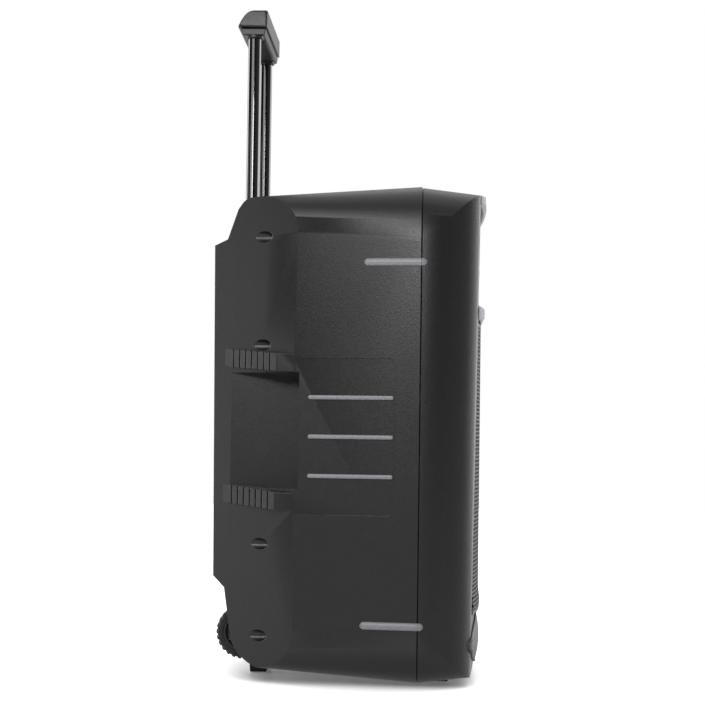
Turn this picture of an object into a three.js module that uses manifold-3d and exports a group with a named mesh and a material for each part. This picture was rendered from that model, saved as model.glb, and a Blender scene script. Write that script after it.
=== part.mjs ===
// A portable party speaker on a two-wheel trolley: a two-shell moulded cabinet with a woofer,
// a horn tweeter, a control panel, side pocket handles and a pull-up trolley handle.
// Units are millimetres. +Z is up, the front faces -Y, and the origin is the middle of the
// footprint on the floor.
import * as THREE from "three";
import { mergeVertices } from "three/addons/utils/BufferGeometryUtils.js";
import Module from "manifold-3d";

const wasm = await Module();
wasm.setup();

// ---------------------------------------------------------------- driving dimensions
const GAP = 0.3; // between two pieces that rest on each other
const DEG = Math.PI / 180;

// Cabinet
const WALL = 4;
const SEAM_Y = -103; // the plane where the front and rear shells meet
const HALF_WIDTH = 205; // at the seam
const CABINET_TOP = 708.5; // front shell at the seam
const REAR_TOP = 710; // the rear shell stands a little above it there
const CABINET_BOTTOM = 3; // at the seam
const MID_Z = (CABINET_TOP + CABINET_BOTTOM) / 2;
const REAR_TOP_DRAFT = Math.tan(3.6 * DEG); // fall of the top towards the rear
const REAR_BOTTOM_DRAFT = Math.tan(4.1 * DEG); // rise of the bottom towards the rear
const FRONT_DRAFT = Math.tan(7 * DEG); // both of these towards the front
const SIDE_DRAFT = 20 / 176; // how fast the side walls close in towards the rear
const LEAN = Math.tan(0.7 * DEG); // the front and rear faces spread apart towards the top
const FRONT_Y = -190; // middle of the front face at mid height
const REAR_Y = 198; // rear face at mid height
const EDGE_ARC_R = 85; // long edges: a large arc, then a shallow bevel on to the flat
const EDGE_ARC_START = 40 * DEG;
const BEVEL_RUN = 25;
const BEVEL_DROP = 12.5;
const CHEEK_R = 89.3; // plan radius that turns each side wall into the front
const CHEEK_SWEEP = 60 * DEG;
const FLANK_FRONT = { x: 185, y: 73 }; // each rear corner is cut by a flat flank
const FLANK_REAR = { x: 100, y: 199 };

// Rear profile, seen from the side
const UPPER_STEP = { y: 183, z: 641 };
const LOWER_STEP = { y: 178, z: 130 };

// Trolley handle, drawn at full extension
const TUBE_R = 9.5;
const TUBE_X = 92.5;
const TUBE_Y = 148.5;
const TUBE_BOTTOM = 556;
const GRIP_HALF = 107.5;
const GRIP_FRONT = 128.5;
const GRIP_REAR = 172.6;
const GRIP_TOP = 977.2;
const GRIP_BOTTOM = 950;
const GRIP_TRAY_BOTTOM = 940;
const BAY = { halfX: 116, frontY: 120, floorZ: 643 }; // where the grip parks when pushed down

// Wheels
const WHEEL = { y: 151.4, z: 64, r: 39.2, outerX: 98, width: 28 };
const WELL_CLEAR = 5;
const AXLE_R = 4;

// Front
const BAFFLE_FRONT = -165;
const OPENING_HALF = 152;
const CONTROL_Z = [539.5, 684];
const GRILLE_Z = [98, 520];
const WOOFER_Z = 253;
const HORN_Z = 466;
const PORT = { x: 126, z: 124, r: 19 }; // bass ports beside the woofer
const FOOT_PAD = { frontX: 95, frontY: -135, rearX: 32, rearY: 133 };

// Side pocket handle and rubbing ribs
const POCKET = { frontY: 68.5, backX: 121, top: 441, bottom: 273, undercut: 28, lipX: 160 };
const SIDE_PANEL = { frontY: -68, top: 461, bottom: 240, depth: 1.4 };
const PANEL_RIB_Z = [294.5, 350, 405.5];
const RUB_RIB_Z = [87, 597];
const SCREW = { x: 151.5, z: [65.5, 196, 480, 636], recessR: 8.2, floorY: -70 };

// ---------------------------------------------------------------- colours
const COLOURS = {
  shell: [0x2b2c2e, 0.6, 0],
  grille: [0x1c1d1f, 0.5, 0.6],
  steel: [0x8f9295, 0.35, 0.9],
  tube: [0x141416, 0.25, 0.6],
  rubber: [0x161616, 0.9, 0],
  paper: [0x1f1f20, 0.85, 0],
  panel: [0x18191b, 0.4, 0],
  knob: [0x2a2b2d, 0.45, 0],
  glass: [0x0b1018, 0.1, 0],
  board: [0x1d4a2c, 0.6, 0],
  alloy: [0xa2a5a8, 0.45, 0.8],
};

function material(kind) {
  const [color, roughness, metalness] = COLOURS[kind];
  return new THREE.MeshStandardMaterial({ color, roughness, metalness });
}

// ---------------------------------------------------------------- solids
// Every builder below returns a manifold solid in the part's own frame.
function solid(geometry) {
  const bare = new THREE.BufferGeometry();
  bare.setAttribute("position", geometry.getAttribute("position"));
  if (geometry.index) bare.setIndex(geometry.index);
  const merged = mergeVertices(bare, 1e-4);
  return new wasm.Manifold(
    new wasm.Mesh({
      numProp: 3,
      vertProperties: new Float32Array(merged.attributes.position.array),
      triVerts: new Uint32Array(merged.index.array),
    }),
  );
}

function box(x0, x1, y0, y1, z0, z1) {
  const geometry = new THREE.BoxGeometry(x1 - x0, y1 - y0, z1 - z0);
  geometry.translate((x0 + x1) / 2, (y0 + y1) / 2, (z0 + z1) / 2);
  return solid(geometry);
}

// Three.js splits an arc into twice the curveSegments it is given.
function extrude(shape, depth, curveSegments) {
  return new THREE.ExtrudeGeometry(shape, { depth, bevelEnabled: false, curveSegments });
}

// A plan outline in (x, y), raised from z0 to z1.
function prismZ(shape, z0, z1, segments = 4) {
  return solid(extrude(shape, z1 - z0, segments).translate(0, 0, z0));
}

// A side outline in (y, z), spread from x0 to x1.
function prismX(shape, x0, x1, segments = 4) {
  const turn = new THREE.Matrix4().makeBasis(
    new THREE.Vector3(0, 1, 0),
    new THREE.Vector3(0, 0, 1),
    new THREE.Vector3(1, 0, 0),
  );
  return solid(extrude(shape, x1 - x0, segments).applyMatrix4(turn).translate(x0, 0, 0));
}

// A front outline in (x, z), run from y0 to y1.
function prismYGeometry(shape, y0, y1, segments = 4) {
  return extrude(shape, y1 - y0, segments).rotateX(Math.PI / 2).translate(0, y1, 0);
}

function prismY(shape, y0, y1, segments = 4) {
  return solid(prismYGeometry(shape, y0, y1, segments));
}

function polygon(points) {
  return new THREE.Shape(points.map(([u, v]) => new THREE.Vector2(u, v)));
}

function disc(u, v, radius) {
  return new THREE.Shape().absarc(u, v, radius, 0, 2 * Math.PI);
}

function rodX(y, z, radius, x0, x1, sides = 16) {
  return prismX(disc(y, z, radius), x0, x1, sides / 2);
}

function rodY(x, z, radius, y0, y1, sides = 16) {
  return prismY(disc(x, z, radius), y0, y1, sides / 2);
}

function rodZ(x, y, radius, z0, z1, sides = 16) {
  return prismZ(disc(x, y, radius), z0, z1, sides / 2);
}

// A profile of (radius, distance) points turned round an axis, faces outwards either way it runs.
function turned(profile, segments) {
  const points = profile.map(([radius, along]) => new THREE.Vector2(radius, along));
  if (THREE.ShapeUtils.area(points) < 0) points.reverse();
  return new THREE.LatheGeometry(points, segments);
}

// Turned round an axis that runs along Y through (x, z).
function turnedY(profile, x, z, segments) {
  return solid(turned(profile, segments).translate(x, 0, z));
}

// Turned round an axis that runs along X through (y, z).
function turnedX(profile, y, z, segments) {
  return solid(turned(profile, segments).rotateZ(-Math.PI / 2).translate(0, y, z));
}

function roundedRect(u0, u1, v0, v1, radius) {
  const shape = new THREE.Shape();
  shape.absarc(u1 - radius, v1 - radius, radius, 0, Math.PI / 2);
  shape.absarc(u0 + radius, v1 - radius, radius, Math.PI / 2, Math.PI);
  shape.absarc(u0 + radius, v0 + radius, radius, Math.PI, 1.5 * Math.PI);
  shape.absarc(u1 - radius, v0 + radius, radius, 1.5 * Math.PI, 2 * Math.PI);
  return shape;
}

function union(solids) {
  return solids.reduce((whole, next) => whole.add(next));
}

function cut(from, ...solids) {
  return solids.reduce((whole, next) => whole.subtract(next), from);
}

// The same thing on both sides of the middle plane.
function bothSides(build) {
  return [-1, 1].map(build);
}

function sideBox(side, x0, x1, ...rest) {
  return box(Math.min(side * x0, side * x1), Math.max(side * x0, side * x1), ...rest);
}

// ---------------------------------------------------------------- cabinet envelope
// Section across the cabinet at the seam, in (x, z): flat, shallow bevel, large arc, wall.
function cabinetSection(inset) {
  const half = HALF_WIDTH - inset;
  const top = CABINET_TOP - inset;
  const bottom = CABINET_BOTTOM + inset;
  const radius = EDGE_ARC_R - inset;
  const creaseX = half - radius * (1 - Math.sin(EDGE_ARC_START));
  const arcX = half - radius;
  const arcDrop = BEVEL_DROP + radius * Math.cos(EDGE_ARC_START);
  const shape = new THREE.Shape();
  shape.moveTo(-(creaseX - BEVEL_RUN), bottom);
  shape.lineTo(creaseX - BEVEL_RUN, bottom);
  shape.absarc(arcX, bottom + arcDrop, radius, EDGE_ARC_START - Math.PI / 2, 0);
  shape.absarc(arcX, top - arcDrop, radius, 0, Math.PI / 2 - EDGE_ARC_START);
  shape.lineTo(creaseX - BEVEL_RUN, top);
  shape.lineTo(-(creaseX - BEVEL_RUN), top);
  shape.absarc(-arcX, top - arcDrop, radius, Math.PI / 2 + EDGE_ARC_START, Math.PI);
  shape.absarc(-arcX, bottom + arcDrop, radius, Math.PI, 1.5 * Math.PI - EDGE_ARC_START);
  return shape;
}

// The section carried from the seam to the plane y, closing in by its drafts on the way.
function envelope(y, inset) {
  const towardsRear = y > SEAM_Y;
  const length = Math.abs(y - SEAM_Y);
  const start = { width: 1, top: towardsRear ? REAR_TOP : CABINET_TOP, bottom: CABINET_BOTTOM };
  const end = {
    width: 1 - (towardsRear ? (length * SIDE_DRAFT) / HALF_WIDTH : 0),
    top: start.top - length * (towardsRear ? REAR_TOP_DRAFT : FRONT_DRAFT),
    bottom: start.bottom + length * (towardsRear ? REAR_BOTTOM_DRAFT : FRONT_DRAFT),
  };
  const y0 = Math.min(y, SEAM_Y);
  const geometry = prismYGeometry(cabinetSection(inset), y0, Math.max(y, SEAM_Y), 4);
  const place = geometry.getAttribute("position");
  for (let i = 0; i < place.count; i++) {
    const { width, top, bottom } = Math.abs(place.getY(i) - y) > 1 ? start : end;
    const z = place.getZ(i);
    place.setX(i, place.getX(i) * width);
    place.setZ(i, THREE.MathUtils.mapLinear(z, CABINET_BOTTOM, CABINET_TOP, bottom, top));
  }
  return solid(geometry);
}

// Plan of the front shell: cheeks that curve in, and a slightly crowned face between them.
function frontPlan(inset) {
  const radius = CHEEK_R - inset;
  const cx = HALF_WIDTH - CHEEK_R;
  const cy = SEAM_Y - 1.5;
  const cheekY = cy - radius * Math.sin(CHEEK_SWEEP);
  const cheekX = cx + radius * Math.cos(CHEEK_SWEEP);
  const shape = new THREE.Shape();
  shape.moveTo(HALF_WIDTH - inset, SEAM_Y + 20);
  shape.lineTo(-(HALF_WIDTH - inset), SEAM_Y + 20);
  shape.absarc(-cx, cy, radius, Math.PI, Math.PI + CHEEK_SWEEP);
  shape.quadraticCurveTo(0, 2 * (FRONT_Y + inset) - cheekY, cheekX, cheekY);
  shape.absarc(cx, cy, radius, -CHEEK_SWEEP, 0);
  return shape;
}

// The front plan raised to full height, leaning so that the top stands further forward.
function frontBlock(inset) {
  const geometry = extrude(frontPlan(inset), CABINET_TOP + 60, 5).translate(0, 0, -30);
  const place = geometry.getAttribute("position");
  for (let i = 0; i < place.count; i++) {
    if (place.getY(i) < SEAM_Y) place.setY(i, place.getY(i) - LEAN * (place.getZ(i) - MID_Z));
  }
  return solid(geometry);
}

// Plan of the rear shell: draughted walls, the two flat flanks and the flat back.
function rearPlan(inset) {
  const slide = inset * 1.25; // keeps the flank wall as thick as the others
  return polygon([
    [-(HALF_WIDTH + 10 - inset), SEAM_Y - 5],
    [HALF_WIDTH + 10 - inset, SEAM_Y - 5],
    [HALF_WIDTH + 10 - inset, FLANK_FRONT.y - 35],
    [FLANK_FRONT.x - inset * 0.2, FLANK_FRONT.y - slide],
    [FLANK_REAR.x - inset * 0.6, FLANK_REAR.y + 4 - inset],
    [-(FLANK_REAR.x - inset * 0.6), FLANK_REAR.y + 4 - inset],
    [-(FLANK_FRONT.x - inset * 0.2), FLANK_FRONT.y - slide],
    [-(HALF_WIDTH + 10 - inset), FLANK_FRONT.y - 35],
  ]);
}

// Side profile of the rear shell: stepped in above for the handle and below for the wheels.
function rearProfile(inset) {
  const shape = new THREE.Shape();
  const back = (z) => REAR_Y - inset + LEAN * (z - MID_Z);
  shape.moveTo(SEAM_Y - 5, -20);
  shape.lineTo(118, 17 + inset);
  shape.quadraticCurveTo(163 - inset, 30 + inset, 168 - inset, 66);
  shape.lineTo(LOWER_STEP.y - inset, LOWER_STEP.z);
  shape.lineTo(back(LOWER_STEP.z + 16), LOWER_STEP.z + 16);
  shape.lineTo(back(UPPER_STEP.z - 13), UPPER_STEP.z - 13);
  shape.lineTo(UPPER_STEP.y - inset, UPPER_STEP.z);
  shape.lineTo(158 - inset, 691 - inset);
  shape.lineTo(152 - inset, 720);
  shape.lineTo(SEAM_Y - 5, 720);
  return shape;
}

// ---------------------------------------------------------------- rear shell
// How far the side wall stands from the middle plane at y.
function wallX(y) {
  return HALF_WIDTH - Math.max(0, y - SEAM_Y) * SIDE_DRAFT;
}

function wheelWell(side, extra) {
  const { y, z, r, outerX, width } = WHEEL;
  const clear = WELL_CLEAR + extra;
  const x0 = outerX - width - clear;
  const x1 = outerX + clear;
  const reach = r + clear;
  const ends = [Math.min(side * x0, side * x1), Math.max(side * x0, side * x1)];
  return union([
    rodX(y, z, reach, ...ends, 20),
    box(...ends, y, y + 80, z - 90, z + reach),
    box(...ends, y - reach, y + 80, z - 90, z),
  ]);
}

function gripBay(extra) {
  const { halfX, frontY, floorZ } = BAY;
  return box(-halfX - extra, halfX + extra, frontY - extra, 260, floorZ - extra, 800);
}

// The hand pocket: an open notch in the rear corner, running forward behind the side wall.
function handPocket(side, extra) {
  const { frontY, backX, top, bottom, undercut, lipX } = POCKET;
  const x0 = backX - extra;
  return union([
    sideBox(side, x0, 260, frontY - extra, 230, bottom - extra, top + extra),
    sideBox(side, x0, lipX + extra, frontY - undercut - extra, frontY, bottom - extra, top + extra),
  ]);
}

// An arm that carries on from the side wall across the notch, with grooves in its rear face.
function pocketArm(side, z0, z1) {
  const panelX = (y) => wallX(y) - SIDE_PANEL.depth;
  const bendY = 101;
  const endX = 113;
  const endY = 183;
  const rise = 9;
  const plan = [
    [panelX(60), 60],
    [panelX(bendY), bendY],
    [endX, endY],
    [endX - 7, endY - 2],
    [POCKET.backX - WALL, 146],
    [POCKET.backX - WALL, 60],
  ].map(([x, y]) => [side * x, y]);
  const outline = polygon([
    [40, z0],
    [bendY, z0 + 1],
    [endY + 5, z0 + rise],
    [endY + 5, z1 + rise + 3],
    [bendY, z1 + 2],
    [40, z1],
  ]);
  const arm = prismZ(polygon(plan), z0 - 30, z1 + 40).intersect(prismX(outline, -260, 260));
  const grooves = [];
  for (let i = 0; i < 7; i++) {
    const y = 112 + i * 9.4;
    const x = THREE.MathUtils.mapLinear(y, bendY, endY, panelX(bendY), endX);
    grooves.push(sideBox(side, x - 2.2, x + 12, y - 1.1, y + 1.1, z0 - 5, z1 + 30));
  }
  return cut(arm, ...grooves);
}

// A bar that stands proud of the side wall and slopes off at both ends.
function wallBar(side, z, height, y0, y1, proud) {
  const plan = polygon([
    [side * (wallX(y0) + proud - 2), y0],
    [side * (wallX(y0) + proud), y0 + 3],
    [side * (wallX(y1) + proud), y1 - 3],
    [side * (wallX(y1) + proud - 2), y1],
    [side * (wallX(y1) - 3), y1],
    [side * (wallX(y0) - 3), y0],
  ]);
  return prismZ(plan, z - height / 2, z + height / 2);
}

function rearSideFeatures(side) {
  const seam = SEAM_Y + GAP / 2;
  return [
    ...PANEL_RIB_Z.map((z) => wallBar(side, z, 6, -66, 55, 1.8)),
    ...RUB_RIB_Z.map((z) => wallBar(side, z, 11, seam, -22, 4)),
    pocketArm(side, POCKET.top, 466),
    pocketArm(side, 244, POCKET.bottom - 4),
  ];
}

function sidePanelRecess(side) {
  const { frontY, top, bottom, depth } = SIDE_PANEL;
  const endY = POCKET.frontY + 11;
  const plan = polygon([
    [side * (wallX(frontY) - depth), frontY],
    [side * (wallX(endY) - depth), endY],
    [side * (wallX(endY) + 30), endY],
    [side * (wallX(frontY) + 30), frontY],
  ]);
  return prismZ(plan, bottom, top);
}

const REAR_PANEL = { half: 76, z0: 232, z1: 528, y: 193.3 };

function rearShell() {
  const whole = envelope(230, 0)
    .intersect(prismZ(rearPlan(0), -20, 760))
    .intersect(prismX(rearProfile(0), -260, 260));
  const pillars = bothSides((side) =>
    union(SCREW.z.map((z) => rodY(side * SCREW.x, z, SCREW.recessR + 3, SEAM_Y - 5, 170, 10))),
  );
  const { half, z0, z1, y } = REAR_PANEL;
  const panelFrame = box(-half - WALL, half + WALL, y - 7, 230, z0 - WALL, z1 + WALL);
  const hollow = cut(
    envelope(230, WALL)
      .add(box(-150, 150, SEAM_Y - 5, SEAM_Y + 1, 60, 650))
      .intersect(prismZ(rearPlan(WALL), -20, 760))
      .intersect(prismX(rearProfile(WALL), -260, 260)),
    ...bothSides((side) => wheelWell(side, WALL)),
    ...bothSides((side) => handPocket(side, WALL)),
    gripBay(WALL),
    panelFrame,
    ...pillars,
  );
  const screwCuts = bothSides((side) =>
    union(
      SCREW.z.map((z) =>
        rodY(side * SCREW.x, z, SCREW.recessR, SCREW.floorY, 200, 12).add(
          rodY(side * SCREW.x, z, 2.6, SEAM_Y - 5, 0, 6),
        ),
      ),
    ),
  );
  const body = cut(
    whole,
    hollow,
    ...bothSides((side) => sidePanelRecess(side)),
    ...bothSides((side) => handPocket(side, 0)),
  );
  const dressed = union([body, ...rearSideFeatures(-1), ...rearSideFeatures(1)]);
  return cut(
    dressed,
    ...screwCuts,
    ...bothSides((side) => wheelWell(side, 0)),
    gripBay(0),
    box(-half, half, y - 3, 230, z0, z1),
    box(-half + 10, half - 10, y - 20, 230, z0 + 10, z1 - 10),
    ...bothSides((side) => rodZ(side * TUBE_X, TUBE_Y, TUBE_R + 1, BAY.floorZ - 9, 700)),
    rodX(WHEEL.y, WHEEL.z, AXLE_R + GAP, -106.4, 106.4, 12),
    box(-260, 260, SEAM_Y - 30, SEAM_Y + GAP / 2, -20, 760),
  );
}

// ---------------------------------------------------------------- front shell
function lipProfile() {
  const fall = (y) => CABINET_TOP - (SEAM_Y - y) * FRONT_DRAFT;
  return polygon([
    [-150, fall(-150) - 0.5],
    [-188, fall(-188)],
    [-199, CONTROL_Z[1] + 9],
    [-198, CONTROL_Z[1] + 4],
    [-187, CONTROL_Z[1]],
    [-150, CONTROL_Z[1]],
  ]);
}

function ledgeProfile() {
  const [top, bottom] = [CONTROL_Z[0], GRILLE_Z[1]];
  return polygon([
    [-150, top],
    [-187, top],
    [-194, top - 5],
    [-195, bottom + 4],
    [-190, bottom],
    [-150, bottom],
  ]);
}

function ellipse(z, radiusX, radiusZ) {
  return new THREE.Shape().absellipse(0, z, radiusX, radiusZ, 0, 2 * Math.PI);
}

const TRIM = { z: 58, halfX: 168, halfZ: 36.5, proud: 7, rimProud: 2.5, sunk: 3 };

// Plan crown that the lip, ledge, grille and trim share.
function crownPlan(middleY, endY, half) {
  const shape = new THREE.Shape();
  shape.moveTo(half, -100);
  shape.lineTo(-half, -100);
  shape.lineTo(-half, endY);
  shape.quadraticCurveTo(0, 2 * middleY - endY, half, endY);
  return shape;
}

function frontShell() {
  const cornerR = 30;
  const sideProfile = new THREE.Shape();
  sideProfile.moveTo(-90, -20);
  sideProfile.lineTo(FRONT_Y + cornerR - 5, 4);
  sideProfile.quadraticCurveTo(FRONT_Y + 3, 12, FRONT_Y + 1, 55);
  sideProfile.lineTo(FRONT_Y - 12, 60);
  sideProfile.lineTo(FRONT_Y - 12, 760);
  sideProfile.lineTo(-90, 760);
  const whole = envelope(-240, 0).intersect(frontBlock(0)).intersect(prismX(sideProfile, -260, 260));
  const crown = prismZ(crownPlan(-198, -193, OPENING_HALF - 0.5), 0, 760);
  const trims = prismX(lipProfile(), -OPENING_HALF, OPENING_HALF)
    .add(prismX(ledgeProfile(), -OPENING_HALF, OPENING_HALF))
    .intersect(crown);
  const posts = bothSides((side) =>
    union(SCREW.z.map((z) => rodY(side * SCREW.x, z, 8, BAFFLE_FRONT + 1, SEAM_Y - GAP, 8))),
  );
  const hollow = cut(
    envelope(-240, WALL)
      .intersect(frontBlock(WALL))
      .intersect(box(-260, 260, BAFFLE_FRONT + WALL, SEAM_Y + 5, -20, 760))
      .add(box(-150, 150, SEAM_Y - 1, SEAM_Y + 5, 60, 650)),
    ...posts,
  );
  const openings = [CONTROL_Z, GRILLE_Z].map(([z0, z1]) =>
    prismY(roundedRect(-OPENING_HALF, OPENING_HALF, z0, z1, 8), -240, BAFFLE_FRONT, 1),
  );
  const ribs = bothSides((side) =>
    union(RUB_RIB_Z.map((z) => wallBar(side, z, 11, -111, SEAM_Y - GAP / 2, 4))),
  );
  const trimSeat = cut(
    prismY(ellipse(TRIM.z, TRIM.halfX + 0.5, TRIM.halfZ + 0.5), -240, -150, 12),
    frontBlock(TRIM.sunk + GAP),
  );
  const shell = union([cut(whole, ...openings), ...ribs, trims]);
  return cut(
    shell,
    hollow,
    trimSeat,
    rodY(0, WOOFER_Z, 141, -180, -150, 24),
    box(-106, 106, -180, -150, HORN_Z - 37, HORN_Z + 37),
    box(-135, 135, -180, -150, CONTROL_Z[0] + 14.5, CONTROL_Z[1] - 13),
    ...bothSides((side) => rodY(side * PORT.x, PORT.z, PORT.r + 3, -180, -150, 12)),
    ...bothSides((side) =>
      union(SCREW.z.map((z) => rodY(side * SCREW.x, z, 2.4, -132, -90, 6))),
    ),
    box(-260, 260, SEAM_Y - GAP / 2, SEAM_Y + 30, -20, 760),
  );
}

// A shallow dome: a thin rim round the edge, rising to a smaller face.
function lowerTrim() {
  const { z, halfX, halfZ, rimProud, proud, sunk } = TRIM;
  const rim = prismY(ellipse(z, halfX, halfZ), -240, -130, 12).intersect(frontBlock(-rimProud));
  const face = prismY(ellipse(z, halfX * 0.72, halfZ * 0.5), -240, -130, 8);
  return wasm.Manifold.hull([rim, face.intersect(frontBlock(-proud))])
    .intersect(prismY(ellipse(z, halfX, halfZ), -240, -130, 12))
    .subtract(frontBlock(sunk));
}

function grille() {
  const half = OPENING_HALF - 1;
  const [z0, z1] = [GRILLE_Z[0] + 0.8, GRILLE_Z[1] - 0.8];
  const outer = prismZ(crownPlan(-191.5, -179, half), z0, z1, 10);
  const inner = prismZ(crownPlan(-190, -177.5, half - 1.5), z0 - 5, z1 + 5, 10);
  return cut(outer, inner, box(-200, 200, -171, -90, z0 - 5, z1 + 5)).intersect(
    prismY(roundedRect(-half, half, z0, z1, 8), -240, -100, 1),
  );
}

// ---------------------------------------------------------------- drivers
function wooferFrame() {
  return turnedY(
    [
      [141, -168.3],
      [152, -168.3],
      [152, -165.3],
      [139.5, -165.3],
      [134, -150],
      [72, -82],
      [72, -76],
      [30, -76],
      [30, -80],
      [68, -80],
      [131, -149],
      [137, -166],
      [141, -168.3],
    ],
    0,
    WOOFER_Z,
    24,
  );
}

function wooferSurround() {
  const inner = 119;
  const outer = 140;
  const middle = (inner + outer) / 2;
  const roll = 8;
  const profile = [[outer, -170.4], [outer, -168.8]];
  for (let i = 0; i <= 4; i++) {
    const angle = (Math.PI * i) / 4;
    profile.push([middle + (roll - 1.2) * Math.cos(angle), -168.8 - (roll - 1.2) * Math.sin(angle)]);
  }
  profile.push([inner, -168.8], [inner, -170.4]);
  for (let i = 4; i >= 0; i--) {
    const angle = (Math.PI * i) / 4;
    profile.push([middle + roll * Math.cos(angle), -170.4 - roll * Math.sin(angle)]);
  }
  profile.push([outer, -170.4]);
  return turnedY(profile, 0, WOOFER_Z, 24);
}

function wooferCone() {
  return turnedY(
    [
      [118.4, -169],
      [118.4, -166.5],
      [33, -119],
      [33, -105],
      [30.5, -105],
      [30.5, -121],
      [115, -169],
      [118.4, -169],
    ],
    0,
    WOOFER_Z,
    24,
  );
}

function dustCap() {
  const rim = 40;
  const depth = 14;
  const profile = [[0, -125], [rim - 6, -125.5]];
  for (let i = 0; i <= 5; i++) {
    const angle = (Math.PI / 2) * (i / 5);
    profile.push([rim * Math.cos(angle), -128.5 - depth * Math.sin(angle)]);
  }
  return turnedY(profile, 0, WOOFER_Z, 16);
}

function wooferMagnet() {
  return turnedY(
    [[0, -75.7], [60, -75.7], [62, -73.7], [62, -42], [60, -40], [0, -40]],
    0,
    WOOFER_Z,
    24,
  );
}

function horn() {
  const throat = 13;
  const stations = [
    [112, 40, -172],
    [78, 33, -150],
    [30, 22, -128],
    [12, 12, -112],
  ]; // half width, half height, y
  const loft = (grow) =>
    union(
      stations.slice(1).map((end, i) => {
        const [ax, az, ay] = stations[i];
        const [bx, bz, by] = end;
        const geometry = new THREE.BoxGeometry(2, by - ay + (grow ? 0 : 0.2), 2);
        const place = geometry.getAttribute("position");
        for (let k = 0; k < place.count; k++) {
          const atFront = place.getY(k) < 0;
          place.setX(k, place.getX(k) * ((atFront ? ax : bx) + grow));
          place.setZ(k, place.getZ(k) * ((atFront ? az : bz) + grow));
        }
        return solid(geometry.translate(0, (ay + by) / 2, HORN_Z));
      }),
    );
  const flange = prismY(roundedRect(-122, 122, HORN_Z - 46, HORN_Z + 46, 8), -169.5, -165.3, 3);
  const collar = rodY(0, HORN_Z, throat + 10, -120, -111.5, 12);
  const outside = union([
    flange,
    loft(2.5).intersect(box(-105, 105, -166, -111.5, HORN_Z - 36, HORN_Z + 36)),
    collar,
  ]);
  return cut(outside, loft(0), rodY(0, HORN_Z, 11, -140, -100, 12));
}

function hornDriver() {
  return rodY(0, HORN_Z, 30, -111.2, -104, 16).add(rodY(0, HORN_Z, 41, -104.2, -68, 16));
}

function portTube(side) {
  const { x, z, r } = PORT;
  const profile = [
    [r, BAFFLE_FRONT - 3.3],
    [r + 5, BAFFLE_FRONT - 3.3],
    [r + 5, BAFFLE_FRONT - GAP],
    [r + 2.4, BAFFLE_FRONT - GAP],
    [r + 2.4, -60],
    [r, -60],
    [r, BAFFLE_FRONT - 3.3],
  ];
  return turnedY(profile, side * x, z, 12);
}

// ---------------------------------------------------------------- control panel
const PANEL_Y = -172;
const KNOBS = {
  knob_volume: { x: 0, z: 587, r: 18 },
  knob_mic: { x: -96, z: 587, r: 11 },
  knob_echo: { x: -60, z: 587, r: 11 },
  knob_bass: { x: 60, z: 587, r: 11 },
  knob_treble: { x: 96, z: 587, r: 11 },
};
const BUTTONS = ["mode", "previous", "play", "next", "record"];
const BUTTON = { pitch: 24, z: 622, halfX: 7, halfZ: 4 };
const buttonX = (i) => (i - (BUTTONS.length - 1) / 2) * BUTTON.pitch;
const JACKS = { jack_mic: -120, jack_guitar: -92 };
const PANEL_JACK_Z = 652;
const USB = { x: 106, halfX: 8.5, halfZ: 4.5 };
const DISPLAY = { halfX: 42, z: 652, halfZ: 14 };

function controlPanel() {
  const half = OPENING_HALF - 0.8;
  const [z0, z1] = CONTROL_Z;
  const plate = prismY(
    roundedRect(-half, half, z0 + 0.8, z1 - 0.8, 7),
    PANEL_Y,
    BAFFLE_FRONT - GAP,
    1,
  );
  return cut(
    plate,
    ...Object.values(KNOBS).map(({ x, z }) => rodY(x, z, 4, -180, -150, 8)),
    ...BUTTONS.map((_, i) =>
      box(
        buttonX(i) - BUTTON.halfX - 0.5,
        buttonX(i) + BUTTON.halfX + 0.5,
        -180,
        -150,
        BUTTON.z - BUTTON.halfZ - 0.5,
        BUTTON.z + BUTTON.halfZ + 0.5,
      ),
    ),
    ...Object.values(JACKS).map((x) => rodY(x, PANEL_JACK_Z, 7.6, -180, -150, 12)),
    box(USB.x - 9, USB.x + 9, -180, -150, PANEL_JACK_Z - 5, PANEL_JACK_Z + 5),
    box(
      -DISPLAY.halfX - 0.5,
      DISPLAY.halfX + 0.5,
      -180,
      PANEL_Y + 1.5,
      DISPLAY.z - DISPLAY.halfZ - 0.5,
      DISPLAY.z + DISPLAY.halfZ + 0.5,
    ),
  );
}

function displayWindow() {
  const { halfX, z, halfZ } = DISPLAY;
  return prismY(
    roundedRect(-halfX, halfX, z - halfZ, z + halfZ, 2),
    PANEL_Y - 0.7,
    PANEL_Y + 1.5 - GAP,
    1,
  );
}

// A knob: skirted cap on a spindle that passes through the panel, with a pointer ridge.
function knob({ x, z, r }) {
  const face = PANEL_Y - 0.5;
  const profile = [
    [0, face + 12],
    [3.5, face + 12],
    [3.5, face],
    [r, face],
    [r, face - 3],
    [r * 0.86, face - 4],
    [r * 0.8, face - 13],
    [r * 0.74, face - 14],
    [0, face - 14],
  ];
  const pointer = box(x - 0.7, x + 0.7, face - 15, face - 13.5, z + r * 0.25, z + r * 0.7);
  return turnedY(profile, x, z, 14).add(pointer);
}

function pushButton(i) {
  const { halfX, halfZ, z } = BUTTON;
  const x = buttonX(i);
  return union([
    prismY(
      roundedRect(x - halfX, x + halfX, z - halfZ, z + halfZ, 1.5),
      PANEL_Y - 2,
      BAFFLE_FRONT + 3,
      1,
    ),
    box(x - 10, x + 10, BAFFLE_FRONT + 1, BAFFLE_FRONT + 3, z - 6, z + 6),
  ]);
}

function jackSocket(x) {
  return turnedY(
    [
      [3.3, PANEL_Y - 1.5],
      [9, PANEL_Y - 1.5],
      [9, PANEL_Y - 0.3],
      [7.2, PANEL_Y - 0.3],
      [7.2, PANEL_Y + 28],
      [3.3, PANEL_Y + 28],
      [3.3, PANEL_Y - 1.5],
    ],
    x,
    PANEL_JACK_Z,
    12,
  );
}

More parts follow.
